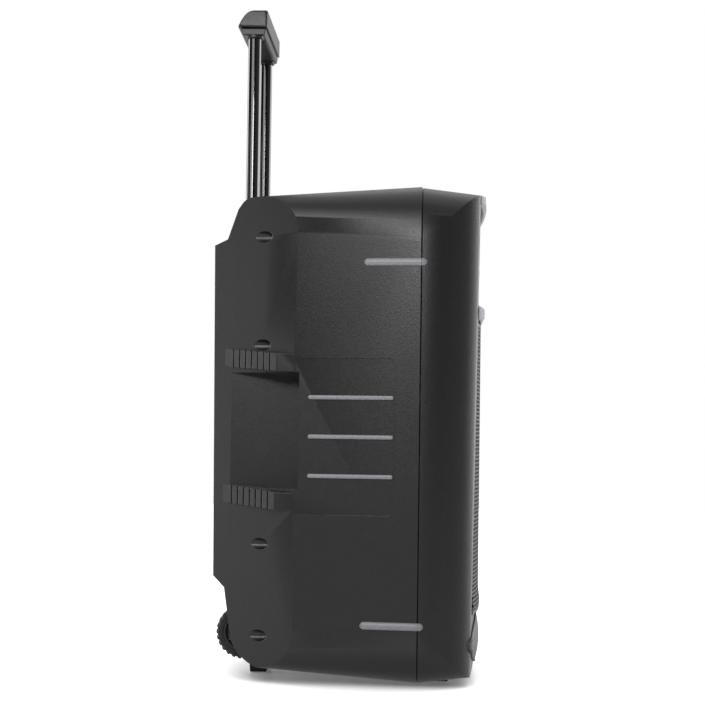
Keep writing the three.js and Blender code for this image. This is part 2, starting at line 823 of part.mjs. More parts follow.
function usbSocket() {
  const { x, halfX, halfZ } = USB;
  const z = PANEL_JACK_Z;
  return cut(
    box(x - halfX, x + halfX, PANEL_Y - 0.6, PANEL_Y + 18, z - halfZ, z + halfZ),
    box(x - halfX + 1.2, x + halfX - 1.2, PANEL_Y - 5, PANEL_Y + 14, z - halfZ + 1.2, z - 0.5),
    box(x - halfX + 1.2, x + halfX - 1.2, PANEL_Y - 5, PANEL_Y + 14, z + 1.2, z + halfZ - 1.2),
  );
}

// ---------------------------------------------------------------- rear panel and electronics
const BATTERY = { halfX: 75.5, y: [38, 103], z: [27, 121] };
const HEAT_SINK = { halfX: 51, y: [160, 186], z: [400, 500], fins: 9, pitch: 12 };
const INLET = { x: -35, z: 268, halfX: 15, halfZ: 11.5 };
const ROCKER = { x: 12, z: 268, halfX: 6.5, halfZ: 9.5 };

function rearPanel() {
  const { half, z0, z1, y } = REAR_PANEL;
  return cut(
    prismY(roundedRect(-half + GAP, half - GAP, z0 + GAP, z1 - GAP, 4), y - 3 + GAP, y, 1),
    box(INLET.x - 15.5, INLET.x + 15.5, y - 10, y + 5, INLET.z - 12, INLET.z + 12),
    box(ROCKER.x - 7, ROCKER.x + 7, y - 10, y + 5, ROCKER.z - 10, ROCKER.z + 10),
  );
}

function powerInlet() {
  const { x, z, halfX, halfZ } = INLET;
  const y = REAR_PANEL.y;
  return cut(
    box(x - halfX, x + halfX, y - 26, y + 0.3, z - halfZ, z + halfZ).add(
      box(x - 20, x + 20, y + 0.3, y + 2.3, z - 15, z + 15),
    ),
    box(x - halfX + 2.5, x + halfX - 2.5, y - 15, y + 5, z - halfZ + 2.5, z + halfZ - 2.5),
  );
}

// A rocker that pivots on a line just inside the panel face.
function powerRocker() {
  const { x, z, halfX, halfZ } = ROCKER;
  const y = REAR_PANEL.y;
  const side = polygon([
    [y - 6, z - halfZ + 1.5],
    [y + 3.5, z - halfZ],
    [y + 1.2, z],
    [y + 3.5, z + halfZ],
    [y - 6, z + halfZ - 1.5],
  ]);
  return prismX(side, x - halfX + 0.3, x + halfX - 0.3);
}

function heatSink() {
  const { halfX, y, z, fins, pitch } = HEAT_SINK;
  const base = box(-halfX, halfX, y[1] - 6, y[1], ...z);
  const blades = [];
  for (let i = 0; i < fins; i++) {
    const x = (i - (fins - 1) / 2) * pitch;
    blades.push(box(x - 1.5, x + 1.5, y[0], y[1] - 2, ...z));
  }
  return union([base, ...blades]);
}

function amplifierBoard() {
  const board = box(-60, 60, 154, 156, 310, 505);
  const transformer = box(-44, -16, 136, 155, 330, 370);
  return board.add(transformer);
}

function battery() {
  return box(-BATTERY.halfX, BATTERY.halfX, ...BATTERY.y, ...BATTERY.z);
}

// ---------------------------------------------------------------- trolley
function trolleyTube(side) {
  return rodZ(side * TUBE_X, TUBE_Y, TUBE_R, TUBE_BOTTOM, GRIP_BOTTOM - 2.3, 16);
}

function trolleySleeve(side) {
  const x = side * TUBE_X;
  return cut(rodZ(x, TUBE_Y, 12, 265, BAY.floorZ - 4.3, 12), rodZ(x, TUBE_Y, 10.1, 260, 700, 12));
}

function tubeCollar(side) {
  const x = side * TUBE_X;
  const z = BAY.floorZ + GAP;
  return cut(rodZ(x, TUBE_Y, 15, z, z + 4, 16), rodZ(x, TUBE_Y, TUBE_R + 0.5, z - 5, 700, 16));
}

function gripShell() {
  const shape = new THREE.Shape();
  shape.moveTo(GRIP_FRONT, GRIP_BOTTOM);
  shape.lineTo(GRIP_REAR, GRIP_BOTTOM + 1.5);
  shape.bezierCurveTo(167, GRIP_BOTTOM + 16, 160, GRIP_TOP, TUBE_Y, GRIP_TOP);
  shape.lineTo(GRIP_FRONT, GRIP_TOP);
  const keyHole = box(-16.5, 16.5, 133, 147, GRIP_TOP - 8, GRIP_TOP + 5);
  return cut(prismX(shape, -GRIP_HALF, GRIP_HALF, 8), keyHole);
}

function gripTray() {
  const z1 = GRIP_BOTTOM - GAP;
  const side = polygon([
    [133, GRIP_TRAY_BOTTOM],
    [165, GRIP_TRAY_BOTTOM],
    [169, z1],
    [131, z1],
  ]);
  const ridges = [];
  for (let i = 0; i < 9; i++) {
    const x = -56 + i * 14;
    ridges.push(box(x - 3, x + 3, 136, 162, GRIP_TRAY_BOTTOM - 2, GRIP_TRAY_BOTTOM + 1));
  }
  return cut(
    union([
      prismX(side, -GRIP_HALF + 2, GRIP_HALF - 2),
      ...ridges,
      ...bothSides((s) => rodZ(s * TUBE_X, TUBE_Y, 13, GRIP_TRAY_BOTTOM - 4, GRIP_TRAY_BOTTOM + 1, 16)),
    ]),
    ...bothSides((s) => rodZ(s * TUBE_X, TUBE_Y, TUBE_R + GAP, GRIP_TRAY_BOTTOM - 20, GRIP_BOTTOM - 2, 16)),
  );
}

function releaseButton() {
  return prismZ(roundedRect(-16, 16, 133.5, 146.5, 3), GRIP_TOP - 4.5, GRIP_TOP + 1.5, 1);
}

// ---------------------------------------------------------------- wheels and feet
const wheelSpan = (side) => {
  const ends = [side * WHEEL.outerX, side * (WHEEL.outerX - WHEEL.width)];
  return [Math.min(...ends), Math.max(...ends)];
};

function tyre(side) {
  const [x0, x1] = wheelSpan(side);
  const { y, z, r } = WHEEL;
  return turnedX(
    [
      [28.3, x1 - 2],
      [28.3, x0 + 2],
      [31, x0],
      [r - 3, x0],
      [r, x0 + 4],
      [r, x1 - 4],
      [r - 3, x1],
      [31, x1],
      [28.3, x1 - 2],
    ],
    y,
    z,
    24,
  );
}

function wheelHub(side) {
  const [x0, x1] = wheelSpan(side);
  const { y, z } = WHEEL;
  const spool = turnedX(
    [
      [AXLE_R + 0.1, x1 - 1],
      [AXLE_R + 0.1, x0 + 1],
      [11, x0 + 1],
      [13, x0 + 6],
      [23, x0 + 6],
      [25, x0 + 2],
      [28, x0 + 2],
      [28, x1 - 2],
      [25, x1 - 2],
      [23, x1 - 6],
      [13, x1 - 6],
      [11, x1 - 1],
      [AXLE_R + 0.1, x1 - 1],
    ],
    y,
    z,
    24,
  );
  const holes = [];
  for (let i = 0; i < 6; i++) {
    const angle = (i * Math.PI) / 3;
    holes.push(rodX(y + 18 * Math.cos(angle), z + 18 * Math.sin(angle), 3.6, x0 - 5, x1 + 5, 6));
  }
  return cut(spool, ...holes);
}

function wheelAxle() {
  return rodX(WHEEL.y, WHEEL.z, AXLE_R, -106, 106, 12);
}

function foot(x, y, halfX, halfY) {
  const under = (at) => {
    const draft = at > SEAM_Y ? REAR_BOTTOM_DRAFT : FRONT_DRAFT;
    return CABINET_BOTTOM + Math.abs(at - SEAM_Y) * draft - GAP;
  };
  const side = polygon([
    [y - halfY, 0],
    [y + halfY, 0],
    [y + halfY + 1.5, under(y + halfY + 1.5)],
    [y - halfY - 1.5, under(y - halfY - 1.5)],
  ]);
  return prismX(side, x - halfX, x + halfX);
}

function flankScrew(side, z) {
  const x = side * SCREW.x;
  const head = SCREW.floorY + GAP;
  return rodY(x, z, 5, head, head + 3.5, 8).add(rodY(x, z, 2, head - 58, head + 1, 6));
}

// ---------------------------------------------------------------- assembly
const speaker = new THREE.Group();

function place(name, kind, shape) {
  const mesh = shape.getMesh();
  const geometry = new THREE.BufferGeometry();
  const xyz = new Float32Array(mesh.numVert * 3);
  for (let i = 0; i < mesh.numVert; i++) {
    xyz.set(mesh.vertProperties.subarray(i * mesh.numProp, i * mesh.numProp + 3), i * 3);
  }
  geometry.setAttribute("position", new THREE.BufferAttribute(xyz, 3));
  geometry.setIndex(new THREE.BufferAttribute(mesh.triVerts, 1));
  geometry.computeVertexNormals();
  const part = new THREE.Mesh(geometry, material(kind));
  part.name = name;
  speaker.add(part);
}

place("rear_housing", "shell", rearShell());
place("front_housing", "shell", frontShell());
place("lower_trim", "panel", lowerTrim());
place("grille", "grille", grille());

place("woofer_frame", "steel", wooferFrame());
place("woofer_surround", "rubber", wooferSurround());
place("woofer_cone", "paper", wooferCone());
place("dust_cap", "paper", dustCap());
place("woofer_magnet", "steel", wooferMagnet());
place("horn", "panel", horn());
place("horn_driver", "steel", hornDriver());

place("control_panel", "panel", controlPanel());
place("display_window", "glass", displayWindow());
Object.entries(KNOBS).forEach(([name, size]) => place(name, "knob", knob(size)));
BUTTONS.forEach((name, i) => place("button_" + name, "knob", pushButton(i)));
Object.entries(JACKS).forEach(([name, x]) => place(name, "steel", jackSocket(x)));
place("usb_port", "steel", usbSocket());

place("rear_panel", "panel", rearPanel());
place("power_inlet", "panel", powerInlet());
place("power_rocker", "knob", powerRocker());
place("heat_sink", "alloy", heatSink());
place("amplifier_board", "board", amplifierBoard());
place("battery", "knob", battery());

for (const [tag, side] of [["left", -1], ["right", 1]]) {
  place("port_tube_" + tag, "panel", portTube(side));
  place("trolley_tube_" + tag, "tube", trolleyTube(side));
  place("trolley_sleeve_" + tag, "steel", trolleySleeve(side));
  place("tube_collar_" + tag, "panel", tubeCollar(side));
  place("tyre_" + tag, "rubber", tyre(side));
  place("wheel_hub_" + tag, "knob", wheelHub(side));
  place("foot_front_" + tag, "rubber", foot(side * FOOT_PAD.frontX, FOOT_PAD.frontY, 15, 12));
  place("foot_rear_" + tag, "rubber", foot(side * FOOT_PAD.rearX, FOOT_PAD.rearY, 15, 12));
  SCREW.z.forEach((z, i) => place("flank_screw_" + tag + "_" + (i + 1), "steel", flankScrew(side, z)));
}
place("wheel_axle", "steel", wheelAxle());
place("grip_shell", "shell", gripShell());
place("grip_tray", "panel", gripTray());
place("release_button", "knob", releaseButton());

export default speaker;
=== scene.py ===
"""Looks for the trolley party speaker: moulded shells, perforated grille, drivers, controls,
trolley handle, wheels and feet, in metres around the packed frame."""
import math
from types import SimpleNamespace as Sizes

import bmesh
import bpy
from mathutils import Matrix, Vector


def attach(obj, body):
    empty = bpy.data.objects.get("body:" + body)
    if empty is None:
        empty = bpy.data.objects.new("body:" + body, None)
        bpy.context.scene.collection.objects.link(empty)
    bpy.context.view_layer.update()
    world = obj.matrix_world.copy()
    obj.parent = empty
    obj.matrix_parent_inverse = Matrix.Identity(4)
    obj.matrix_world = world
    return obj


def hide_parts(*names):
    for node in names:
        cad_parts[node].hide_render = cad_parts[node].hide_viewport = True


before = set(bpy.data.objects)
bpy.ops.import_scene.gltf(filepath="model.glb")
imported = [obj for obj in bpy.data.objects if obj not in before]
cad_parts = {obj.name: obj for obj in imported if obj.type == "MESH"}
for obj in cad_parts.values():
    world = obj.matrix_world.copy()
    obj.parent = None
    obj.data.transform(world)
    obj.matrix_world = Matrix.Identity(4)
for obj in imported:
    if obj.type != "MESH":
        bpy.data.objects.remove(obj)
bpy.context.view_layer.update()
scene = bpy.context.scene

MM = 0.001
PI = math.pi

# ------------------------------------------------------------------ driving sizes, millimetres
WALL = 4
SEAM_Y = -103
SEAM_HALF = 0.15
HALF_WIDTH = 205
TOP, REAR_TOP, BOTTOM = 708.5, 710, 3
MID_Z = (TOP + BOTTOM) / 2
REAR_TOP_DRAFT = math.tan(math.radians(3.6))
REAR_BOTTOM_DRAFT = math.tan(math.radians(4.1))
FRONT_DRAFT = math.tan(math.radians(7))
SIDE_DRAFT = 20 / 176
LEAN = math.tan(math.radians(0.7))
FRONT_Y, REAR_Y = -190, 198
SEAM_EDGE = dict(run=55, drop=85, power=2)  # how the long edges turn over at the seam
REAR_EDGE = dict(run=38, drop=42, power=2.86)  # and at y = REAR_END
REAR_END = 230
CHEEK_R, CHEEK_SWEEP = 89.3, math.radians(60)
FLANK_FRONT, FLANK_REAR = (185, 73), (100, 199)
UPPER_STEP, LOWER_STEP = (181, 636), (178, 130)
TUBE_X, TUBE_Y, TUBE_R = 92.5, 148.5, 9.5
BAY = Sizes(half_x=109.5, front_y=120, floor_z=643)
WHEEL = Sizes(y=151.4, z=64, r=39.2, outer_x=98, width=28, clear=5)
AXLE_R = 4
BAFFLE_Y = -165
OPENING_HALF = 152
CONTROL_Z = (539.5, 684)
GRILLE_Z = (98, 520)
WOOFER_Z, HORN_Z = 253, 466
PORT = Sizes(x=126, z=124, r=19)
POCKET = Sizes(front_y=68.5, back_x=121, top=441, bottom=273, undercut=28, lip_x=160)
SIDE_PANEL = Sizes(front_y=-68, top=461, bottom=240, depth=1.4, corner=11)
PANEL_RIB_Z = (294.5, 350, 405.5)
RUB_RIB_Z = (87, 597)
SCREW_X, SCREW_Z, SCREW_R = 151.5, (65.5, 196, 480, 636), 8.2
TRIM = Sizes(z=58, half_x=168, half_z=36.5, rim=2.5, proud=7, sunk=3)
ARM_BEND_Y, ARM_END = 101, (113, 183)
REAR_PANEL = Sizes(half=76, z0=232, z1=528, y=193.3)
GRILLE = Sizes(
    pitch=6.6, hole=0.4, half=151, z0=98.8, z1=519.2, middle_y=-191.5, end_y=-179, roll=6, back_y=-171
)
PANEL_Y = -172
KNOBS = {"volume": (0, 18), "mic": (-96, 11), "echo": (-60, 11), "bass": (60, 11), "treble": (96, 11)}
KNOB_Z = 587
BUTTONS = ["mode", "previous", "play", "next", "record"]
BUTTON = Sizes(pitch=24, z=622, half_x=7, half_z=4)
JACKS = {"mic": -120, "guitar": -92}
JACK_Z = 652
USB_X = 106
DISPLAY = Sizes(half_x=42, z=652, half_z=14)
DIGITS = {"0": "abcdef", "1": "bc", "2": "abged", "8": "abcdefg"}
INLET = Sizes(x=-35, z=268, half_x=15, half_z=11.5)
ROCKER = Sizes(x=12, z=268, half_x=6.5, half_z=9.5)
GRIP = Sizes(half=107.5, front=128.5, rear=172.6, top=977.2, bottom=950, tray=940)
TUBE_BOTTOM = 556
LUGS = 26
CAMERA_AT = (-2705, -116, 355.5)
CAMERA_YAW, CAMERA_PITCH, CAMERA_ROLL = (math.radians(a) for a in (2.485, 2.585, 0.8))
CAMERA_LENS = 91.2
BEYOND, AHEAD = 260, -240  # outside the cabinet: to its sides and back, and before its face
UNDER, OVER = -20, 760  # outside it in z
THROUGH = (-180, -150)  # in y, right through the control panel and the baffle
SIDES = (("left", -1), ("right", 1))


# ------------------------------------------------------------------ meshes from outlines
def link(name, mesh):
    obj = bpy.data.objects.new(name, mesh)
    scene.collection.objects.link(obj)
    return obj


def mesh_object(name, points, faces):
    """Points are in millimetres; the mesh is made in metres with its faces turned outwards."""
    mesh = bpy.data.meshes.new(name)
    mesh.from_pydata([Vector(p) * MM for p in points], [], faces)
    work = bmesh.new()
    work.from_mesh(mesh)
    bmesh.ops.recalc_face_normals(work, faces=work.faces)
    work.to_mesh(mesh)
    work.free()
    return link(name, mesh)


def loft(name, rings, closed=False):
    """A skin through rings of equal length; open lofts get end caps, closed ones join up."""
    count = len(rings[0])
    points = [p for ring in rings for p in ring]
    faces = []
    spans = len(rings) if closed else len(rings) - 1
    for r in range(spans):
        a, b = r * count, ((r + 1) % len(rings)) * count
        for i in range(count):
            j = (i + 1) % count
            faces.append((a + i, a + j, b + j, b + i))
    if not closed:
        faces.append(tuple(range(count)))
        faces.append(tuple(range((len(rings) - 1) * count, len(rings) * count)))
    return mesh_object(name, points, faces)


def spot(axis, u, v, w):
    """A point from outline coordinates: x takes (y, z), y takes (x, z), z takes (x, y)."""
    return {"x": (w, u, v), "y": (u, w, v), "z": (u, v, w)}[axis]


def prism(outline, axis, low, high, name="tool"):
    return loft(name, [[spot(axis, u, v, w) for u, v in outline] for w in (low, high)])


def block(x0, x1, y0, y1, z0, z1, name="tool"):
    return prism([(x0, y0), (x1, y0), (x1, y1), (x0, y1)], "z", z0, z1, name)


def side_block(side, x0, x1, *rest):
    return block(*sorted((side * x0, side * x1)), *rest)


def arc(cu, cv, radius, start, end, steps):
    turns = [start + (end - start) * i / steps for i in range(steps + 1)]
    return [(cu + radius * math.cos(t), cv + radius * math.sin(t)) for t in turns]


def circle(cu, cv, radius, steps=48):
    return arc(cu, cv, radius, 0, 2 * PI, steps)[:-1]


def quadratic(start, control, end, steps):
    points = []
    for i in range(steps + 1):
        t = i / steps
        a, b, c = (1 - t) ** 2, 2 * t * (1 - t), t * t
        points.append(tuple(a * s + b * k + c * e for s, k, e in zip(start, control, end)))
    return points


def rounded_rect(u0, u1, v0, v1, radius, steps=6):
    corners = [(u1, v1, 0), (u0, v1, 1), (u0, v0, 2), (u1, v0, 3)]
    points = []
    for u, v, quarter in corners:
        cu = u - radius if u == u1 else u + radius
        cv = v - radius if v == v1 else v + radius
        points += arc(cu, cv, radius, quarter * PI / 2, (quarter + 1) * PI / 2, steps)
    return points


def slab(u, v, half_u, half_v, radius, y0, y1, name="tool", steps=6):
    """A rounded rectangle centred on (u, v) in (x, z), from y0 to y1."""
    outline = rounded_rect(u - half_u, u + half_u, v - half_v, v + half_v, radius, steps)
    return prism(outline, "y", y0, y1, name)


def dome(radius, base, rise, steps=6):
    """The profile of a dome from just inside its rim to its top."""
    turns = [PI / 2 * i / steps for i in range(1, steps)]
    return [(radius * math.cos(t), base + rise * math.sin(t)) for t in turns] + [(0.01, base + rise)]


def cross_slots(u, v, reach, half, low, high):
    """The two slots of a cross recess."""
    slots = []
    for a, b in ((reach, half), (half, reach)):
        outline = [(u - a, v - b), (u + a, v - b), (u + a, v + b), (u - a, v + b)]
        slots.append(prism(outline, "y", low, high))
    return slots


def rod(axis, u, v, radius, low, high, steps=48, name="tool"):
    return prism(circle(u, v, radius, steps), axis, low, high, name)


def turned(name, profile, axis, u, v, steps=96):
    """A closed profile of (radius, distance) points turned round an axis, which it never touches."""
    rings = []
    for radius, along in profile:
        rings.append([spot(axis, u + a, v + b, along) for a, b in circle(0, 0, radius, steps)])
    return loft(name, rings, True)


# ------------------------------------------------------------------ mesh work
def bake(obj):
    """Applies every modifier."""
    graph = bpy.context.evaluated_depsgraph_get()
    mesh = bpy.data.meshes.new_from_object(obj.evaluated_get(graph))
    obj.modifiers.clear()
    obj.data = mesh
    return obj


def combine(obj, operation, tools):
    for tool in tools:
        step = obj.modifiers.new(operation, "BOOLEAN")
        step.operation = operation
        step.solver = "EXACT"
        step.object = tool
    bake(obj)
    for tool in tools:
        bpy.data.objects.remove(tool)
    return obj


def cut(obj, *tools):
    return combine(obj, "DIFFERENCE", tools)


def meet(obj, *tools):
    return combine(obj, "INTERSECT", tools)


def join(obj, *tools):
    return combine(obj, "UNION", tools)


def soften(obj, width, segments=3, angle=30):
    step = obj.modifiers.new("soften", "BEVEL")
    step.width = width * MM
    step.segments = segments
    step.limit_method = "ANGLE"
    step.angle_limit = math.radians(angle)
    step.miter_outer = "MITER_ARC"
    return bake(obj)


def smooth(obj, angle=30):
    """Shades smoothly except across edges sharper than angle."""
    obj.data.shade_smooth()
    obj.data.set_sharp_from_angle(angle=math.radians(angle))
    weigh = obj.modifiers.new("weigh", "WEIGHTED_NORMAL")
    weigh.keep_sharp = True


def both(build):
    """Builds one piece for each side, -1 and then 1."""
    return [build(side) for side in (-1, 1)]


# ------------------------------------------------------------------ cabinet envelope
def mirrored(right):
    """A right-hand outline joined to its mirror image."""
    return right + [(-u, v) for u, v in reversed(right)]


def cabinet_section(inset, share=0.0, steps=24):
    """Across the cabinet in (x, z): share 0 is the section at the seam, share 1 the rear end's."""
    half, top, bottom = HALF_WIDTH - inset, TOP - inset, BOTTOM + inset
    run, drop, power = (SEAM_EDGE[k] + (REAR_EDGE[k] - SEAM_EDGE[k]) * share for k in SEAM_EDGE)
    run, drop = run - inset, drop - inset
    turn = []
    for i in range(steps + 1):
        angle = PI / 2 * i / steps
        turn.append((math.cos(angle) ** (2 / power), math.sin(angle) ** (2 / power)))
    upper = [(half - run + run * c, top - drop + drop * s) for c, s in turn]
    lower = [(half - run + run * c, bottom + drop - drop * s) for c, s in reversed(turn)]
    return mirrored(lower + upper)


def envelope(stations, rear):
    """The section carried along Y with its drafts, through stations of (y, inset)."""
    rings = []
    for y, inset in stations:
        length = abs(y - SEAM_Y)
        share = length / (REAR_END - SEAM_Y) if rear and y > SEAM_Y else 0
        wide = 1 - (length * SIDE_DRAFT / HALF_WIDTH if rear else 0)
        top = REAR_TOP - length * REAR_TOP_DRAFT if rear else TOP - length * FRONT_DRAFT
        bottom = BOTTOM + length * (REAR_BOTTOM_DRAFT if rear else FRONT_DRAFT)
        tall = (top - bottom) / (TOP - BOTTOM)
        section = cabinet_section(inset, share)
        rings.append([(x * wide, y, bottom + (z - BOTTOM) * tall) for x, z in section])
    return loft("tool", rings)


def front_plan(inset, steps=24):
    """The front shell from above, in (x, y): two round cheeks and a crowned face."""
    radius = CHEEK_R - inset
    cx, cy = HALF_WIDTH - CHEEK_R, SEAM_Y - 1.5
    cheek_y = cy - radius * math.sin(CHEEK_SWEEP)
    cheek_x = cx + radius * math.cos(CHEEK_SWEEP)
    left = arc(-cx, cy, radius, PI, PI + CHEEK_SWEEP, steps)
    face = quadratic((-cheek_x, cheek_y), (0, 2 * (FRONT_Y + inset) - cheek_y), (cheek_x, cheek_y), steps)
    right = arc(cx, cy, radius, -CHEEK_SWEEP, 0, steps)
    back = [(HALF_WIDTH - inset, SEAM_Y + 40), (-(HALF_WIDTH - inset), SEAM_Y + 40)]
    return left + face[1:-1] + right + back


def front_block(inset):
    """The front plan carried up, leaning with the face."""
    rings = []
    for z in (-30, 740):
        lean = LEAN * (z - MID_Z)
        rings.append([(x, y - lean if y < SEAM_Y else y, z) for x, y in front_plan(inset)])
    return loft("tool", rings)


def rear_plan(inset):
    """The rear shell from above, in (x, y), with its slanting flanks."""
    slide = inset * 1.25
    beside = HALF_WIDTH + 10 - inset
    right = [
        (beside, SEAM_Y - 45),
        (beside, FLANK_FRONT[1] - 35),
        (FLANK_FRONT[0] - inset * 0.2, FLANK_FRONT[1] - slide),
        (FLANK_REAR[0] - inset * 0.6, FLANK_REAR[1] + 4 - inset),
    ]
    return mirrored(right)


def back_y(z, inset=0):
    return REAR_Y - inset + LEAN * (z - MID_Z)


def rear_profile(inset):
    """The cabinet from the side, in (y, z), with the steps at the top and bottom of its back."""
    curve = quadratic((118, 17 + inset), (163 - inset, 30 + inset), (168 - inset, 66), 14)
    low, high = LOWER_STEP[1] + 16, UPPER_STEP[1] - 8
    return [
        (SEAM_Y - 45, -32),
        *curve,
        (LOWER_STEP[0] - inset, LOWER_STEP[1]),
        (back_y(low, inset), low),
        (back_y(high, inset), high),
        (UPPER_STEP[0] - inset, UPPER_STEP[1]),
        (165 - inset, 679 - inset),
        (157 - inset, 689 - inset),
        (151 - inset, 693 - inset),
        (143 - inset, 720),
        (SEAM_Y - 45, 720),
    ]


def wall_x(y):
    """Half width of the cabinet's side wall at y, at mid height."""
    return HALF_WIDTH - max(0, y - SEAM_Y) * SIDE_DRAFT


# ------------------------------------------------------------------ rear shell
def wheel_span(side, clear=0):
    """A wheel's two faces in x, each moved out by clear."""
    inner_x = WHEEL.outer_x - WHEEL.width
    return sorted((side * (inner_x - clear), side * (WHEEL.outer_x + clear)))


def wheel_well(side, extra):
    """The arch round a wheel, open below and behind."""
    clear = WHEEL.clear + extra
    y, z, reach = WHEEL.y, WHEEL.z, WHEEL.r + clear
    outline = arc(y, z, reach, PI / 2, PI, 24)
    outline += [(y - reach, z - 90), (y + 80, z - 90), (y + 80, z + reach)]
    return prism(outline, "x", *wheel_span(side, clear))


def grip_bay(extra):
    """The recess behind the top that the folded grip rests in."""
    half, front, floor = BAY.half_x + extra, BAY.front_y - extra, BAY.floor_z - extra
    corner = 12 + extra
    plan = [(half, BEYOND), *arc(half - corner, front + corner, corner, 0, -PI / 2, 8)]
    return prism(mirrored(plan), "z", floor, 800)


def hand_pocket(side, extra):
    """The notch at the back of the side wall, undercut forwards behind a lip."""
    low, high = POCKET.bottom - extra, POCKET.top + extra
    x0, front = POCKET.back_x - extra, POCKET.front_y - extra
    return [
        side_block(side, x0, BEYOND, front, REAR_END, low, high),
        side_block(side, x0, POCKET.lip_x + extra, front - POCKET.undercut, front + 1, low, high),
    ]


def arm_x(y):
    wall = wall_x(ARM_BEND_Y) - SIDE_PANEL.depth
    return wall + (ARM_END[0] - wall) * (y - ARM_BEND_Y) / (ARM_END[1] - ARM_BEND_Y)


def pocket_arm(side, z0, z1):
    """The side wall carried on across the notch, with seven grip grooves in its rear stretch."""
    bend, (end_x, end_y), depth, rise = ARM_BEND_Y, ARM_END, SIDE_PANEL.depth, 9
    far_y = end_y + 5
    inner = POCKET.back_x - WALL
    plan = [
        (wall_x(60) - depth, 60),
        (wall_x(bend) - depth, bend),
        (end_x, end_y),
        (end_x - 7, end_y - 2),
        (inner, 146),
        (inner, 60),
    ]
    outline = [
        (40, z0),
        (bend, z0 + 1),
        (far_y, z0 + rise),
        (far_y, z1 + rise + 3),
        (bend, z1 + 2),
        (40, z1),
    ]
    arm = prism([(side * x, y) for x, y in plan], "z", z0 - 30, z1 + 40)
    meet(arm, prism(outline, "x", -BEYOND, BEYOND))
    soften(arm, 1.4)
    grooves = []
    for i in range(7):
        x, y, half = arm_x(112 + i * 9.4), 112 + i * 9.4, 2.4
        plan = [(x - half, y), (x + 4, y - half), (x + 12, y), (x + 4, y + half)]
        grooves.append(prism([(side * u, v) for u, v in plan], "z", z0 - 5, z1 + 30))
    return cut(arm, *grooves)


def bar_stations(y0, y1, reach, ends, steps=8):
    """Pairs of (y, fullness) along a bar that rounds off over reach at its chosen ends."""
    turn = [(reach * i / steps, math.sqrt(1 - (1 - i / steps) ** 2)) for i in range(steps + 1)]
    start = [(y0 + run, full) for run, full in turn] if ends[0] else [(y0, 1)]
    end = [(y1 - run, full) for run, full in reversed(turn)] if ends[1] else [(y1, 1)]
    return start + end


def wall_bar(side, z, height, y0, y1, proud, ends=(True, True)):
    """A rounded bar let into the side wall, with its chosen ends rounded off."""
    rings = []
    for y, full in bar_stations(y0, y1, proud * 1.6, ends):
        sunk, half = wall_x(y) - 2.5, height / 2 * max(full, 0.2)
        ring = [(side * sunk, y, z + half)]
        for step in range(13):
            angle = PI / 2 - PI * step / 12
            out = proud * full * math.cos(angle) ** 0.8 if 0 < step < 12 else 0
            ring.append((side * (wall_x(y) + out), y, z + half * math.sin(angle)))
        ring.append((side * sunk, y, z - half))
        rings.append(ring)
    return loft("wall_bar", rings)


def rub_bars(side):
    """The pair of bars across the seam: each is one bar on the rear shell and a stub on the front."""
    seam = SEAM_Y + SEAM_HALF
    rear = [wall_bar(side, z, 11, seam, -22, 4, (False, True)) for z in RUB_RIB_Z]
    front = [wall_bar(side, z, 11, -111, SEAM_Y - SEAM_HALF, 4, (True, False)) for z in RUB_RIB_Z]
    return rear, front


def side_panel_recess(side):
    """A shallow step in the side wall that runs back into the notch."""
    front, depth, corner = SIDE_PANEL.front_y, SIDE_PANEL.depth, SIDE_PANEL.corner
    back, outside = 80, 30
    plan = [(wall_x(y) - depth, y) for y in (front, back)]
    plan += [(wall_x(y) + outside, y) for y in (back, front)]
    low, high = SIDE_PANEL.bottom, SIDE_PANEL.top
    outline = arc(front + corner, high - corner, corner, PI / 2, PI, 10)
    outline += arc(front + corner, low + corner, corner, PI, 1.5 * PI, 10)
    recess = prism([(side * x, y) for x, y in plan], "z", low, high)
    return meet(recess, prism([*outline, (90, low), (90, high)], "x", -BEYOND, BEYOND))


def rear_shell():
    """The moulding behind the seam, hollow round its wells, pockets, bay, panel seat and screw tubes."""
    seam = SEAM_Y + SEAM_HALF
    whole = envelope([(seam, 1.2), (seam + 0.9, 0), (REAR_END, 0)], True)
    meet(whole, prism(rear_plan(0), "z", UNDER, OVER), prism(rear_profile(0), "x", -BEYOND, BEYOND))
    hollow = envelope([(seam - 5, WALL), (REAR_END, WALL)], True)
    meet(hollow, prism(rear_plan(WALL), "z", UNDER, OVER), prism(rear_profile(WALL), "x", -BEYOND, BEYOND))
    half, z0, z1, y = vars(REAR_PANEL).values()
    keep = both(lambda side: wheel_well(side, WALL))
    keep += sum(both(lambda side: hand_pocket(side, WALL)), [])
    keep += [grip_bay(WALL), block(-half - WALL, half + WALL, y - 7, REAR_END, z0 - WALL, z1 + WALL)]
    for z in SCREW_Z:
        keep += both(lambda side: rod("y", side * SCREW_X, z, SCREW_R + 3, SEAM_Y - 20, 170, 32))
    cut(hollow, *keep)
    cut(whole, hollow)
    cut(whole, *both(side_panel_recess), *sum(both(lambda side: hand_pocket(side, 0)), []))
    added = both(lambda side: pocket_arm(side, POCKET.top, 466))
    added += both(lambda side: pocket_arm(side, 244, POCKET.bottom - 4))
    join(whole, *added)
    holes = both(lambda side: wheel_well(side, 0)) + [grip_bay(0)]
    for z in SCREW_Z:
        holes += both(lambda side: rod("y", side * SCREW_X, z, SCREW_R, -70, 200, 40))
        holes += both(lambda side: rod("y", side * SCREW_X, z, 2.6, SEAM_Y - 5, 0, 16))
    holes += [
        block(-half, half, y - 3, REAR_END, z0, z1),
        block(-half + 10, half - 10, y - 20, REAR_END, z0 + 10, z1 - 10),
        rod("x", WHEEL.y, WHEEL.z, AXLE_R + 0.3, -106.4, 106.4, 24),
    ]
    holes += both(lambda side: rod("z", side * TUBE_X, TUBE_Y, TUBE_R + 1, BAY.floor_z - 9, 700))
    return cut(whole, *holes)


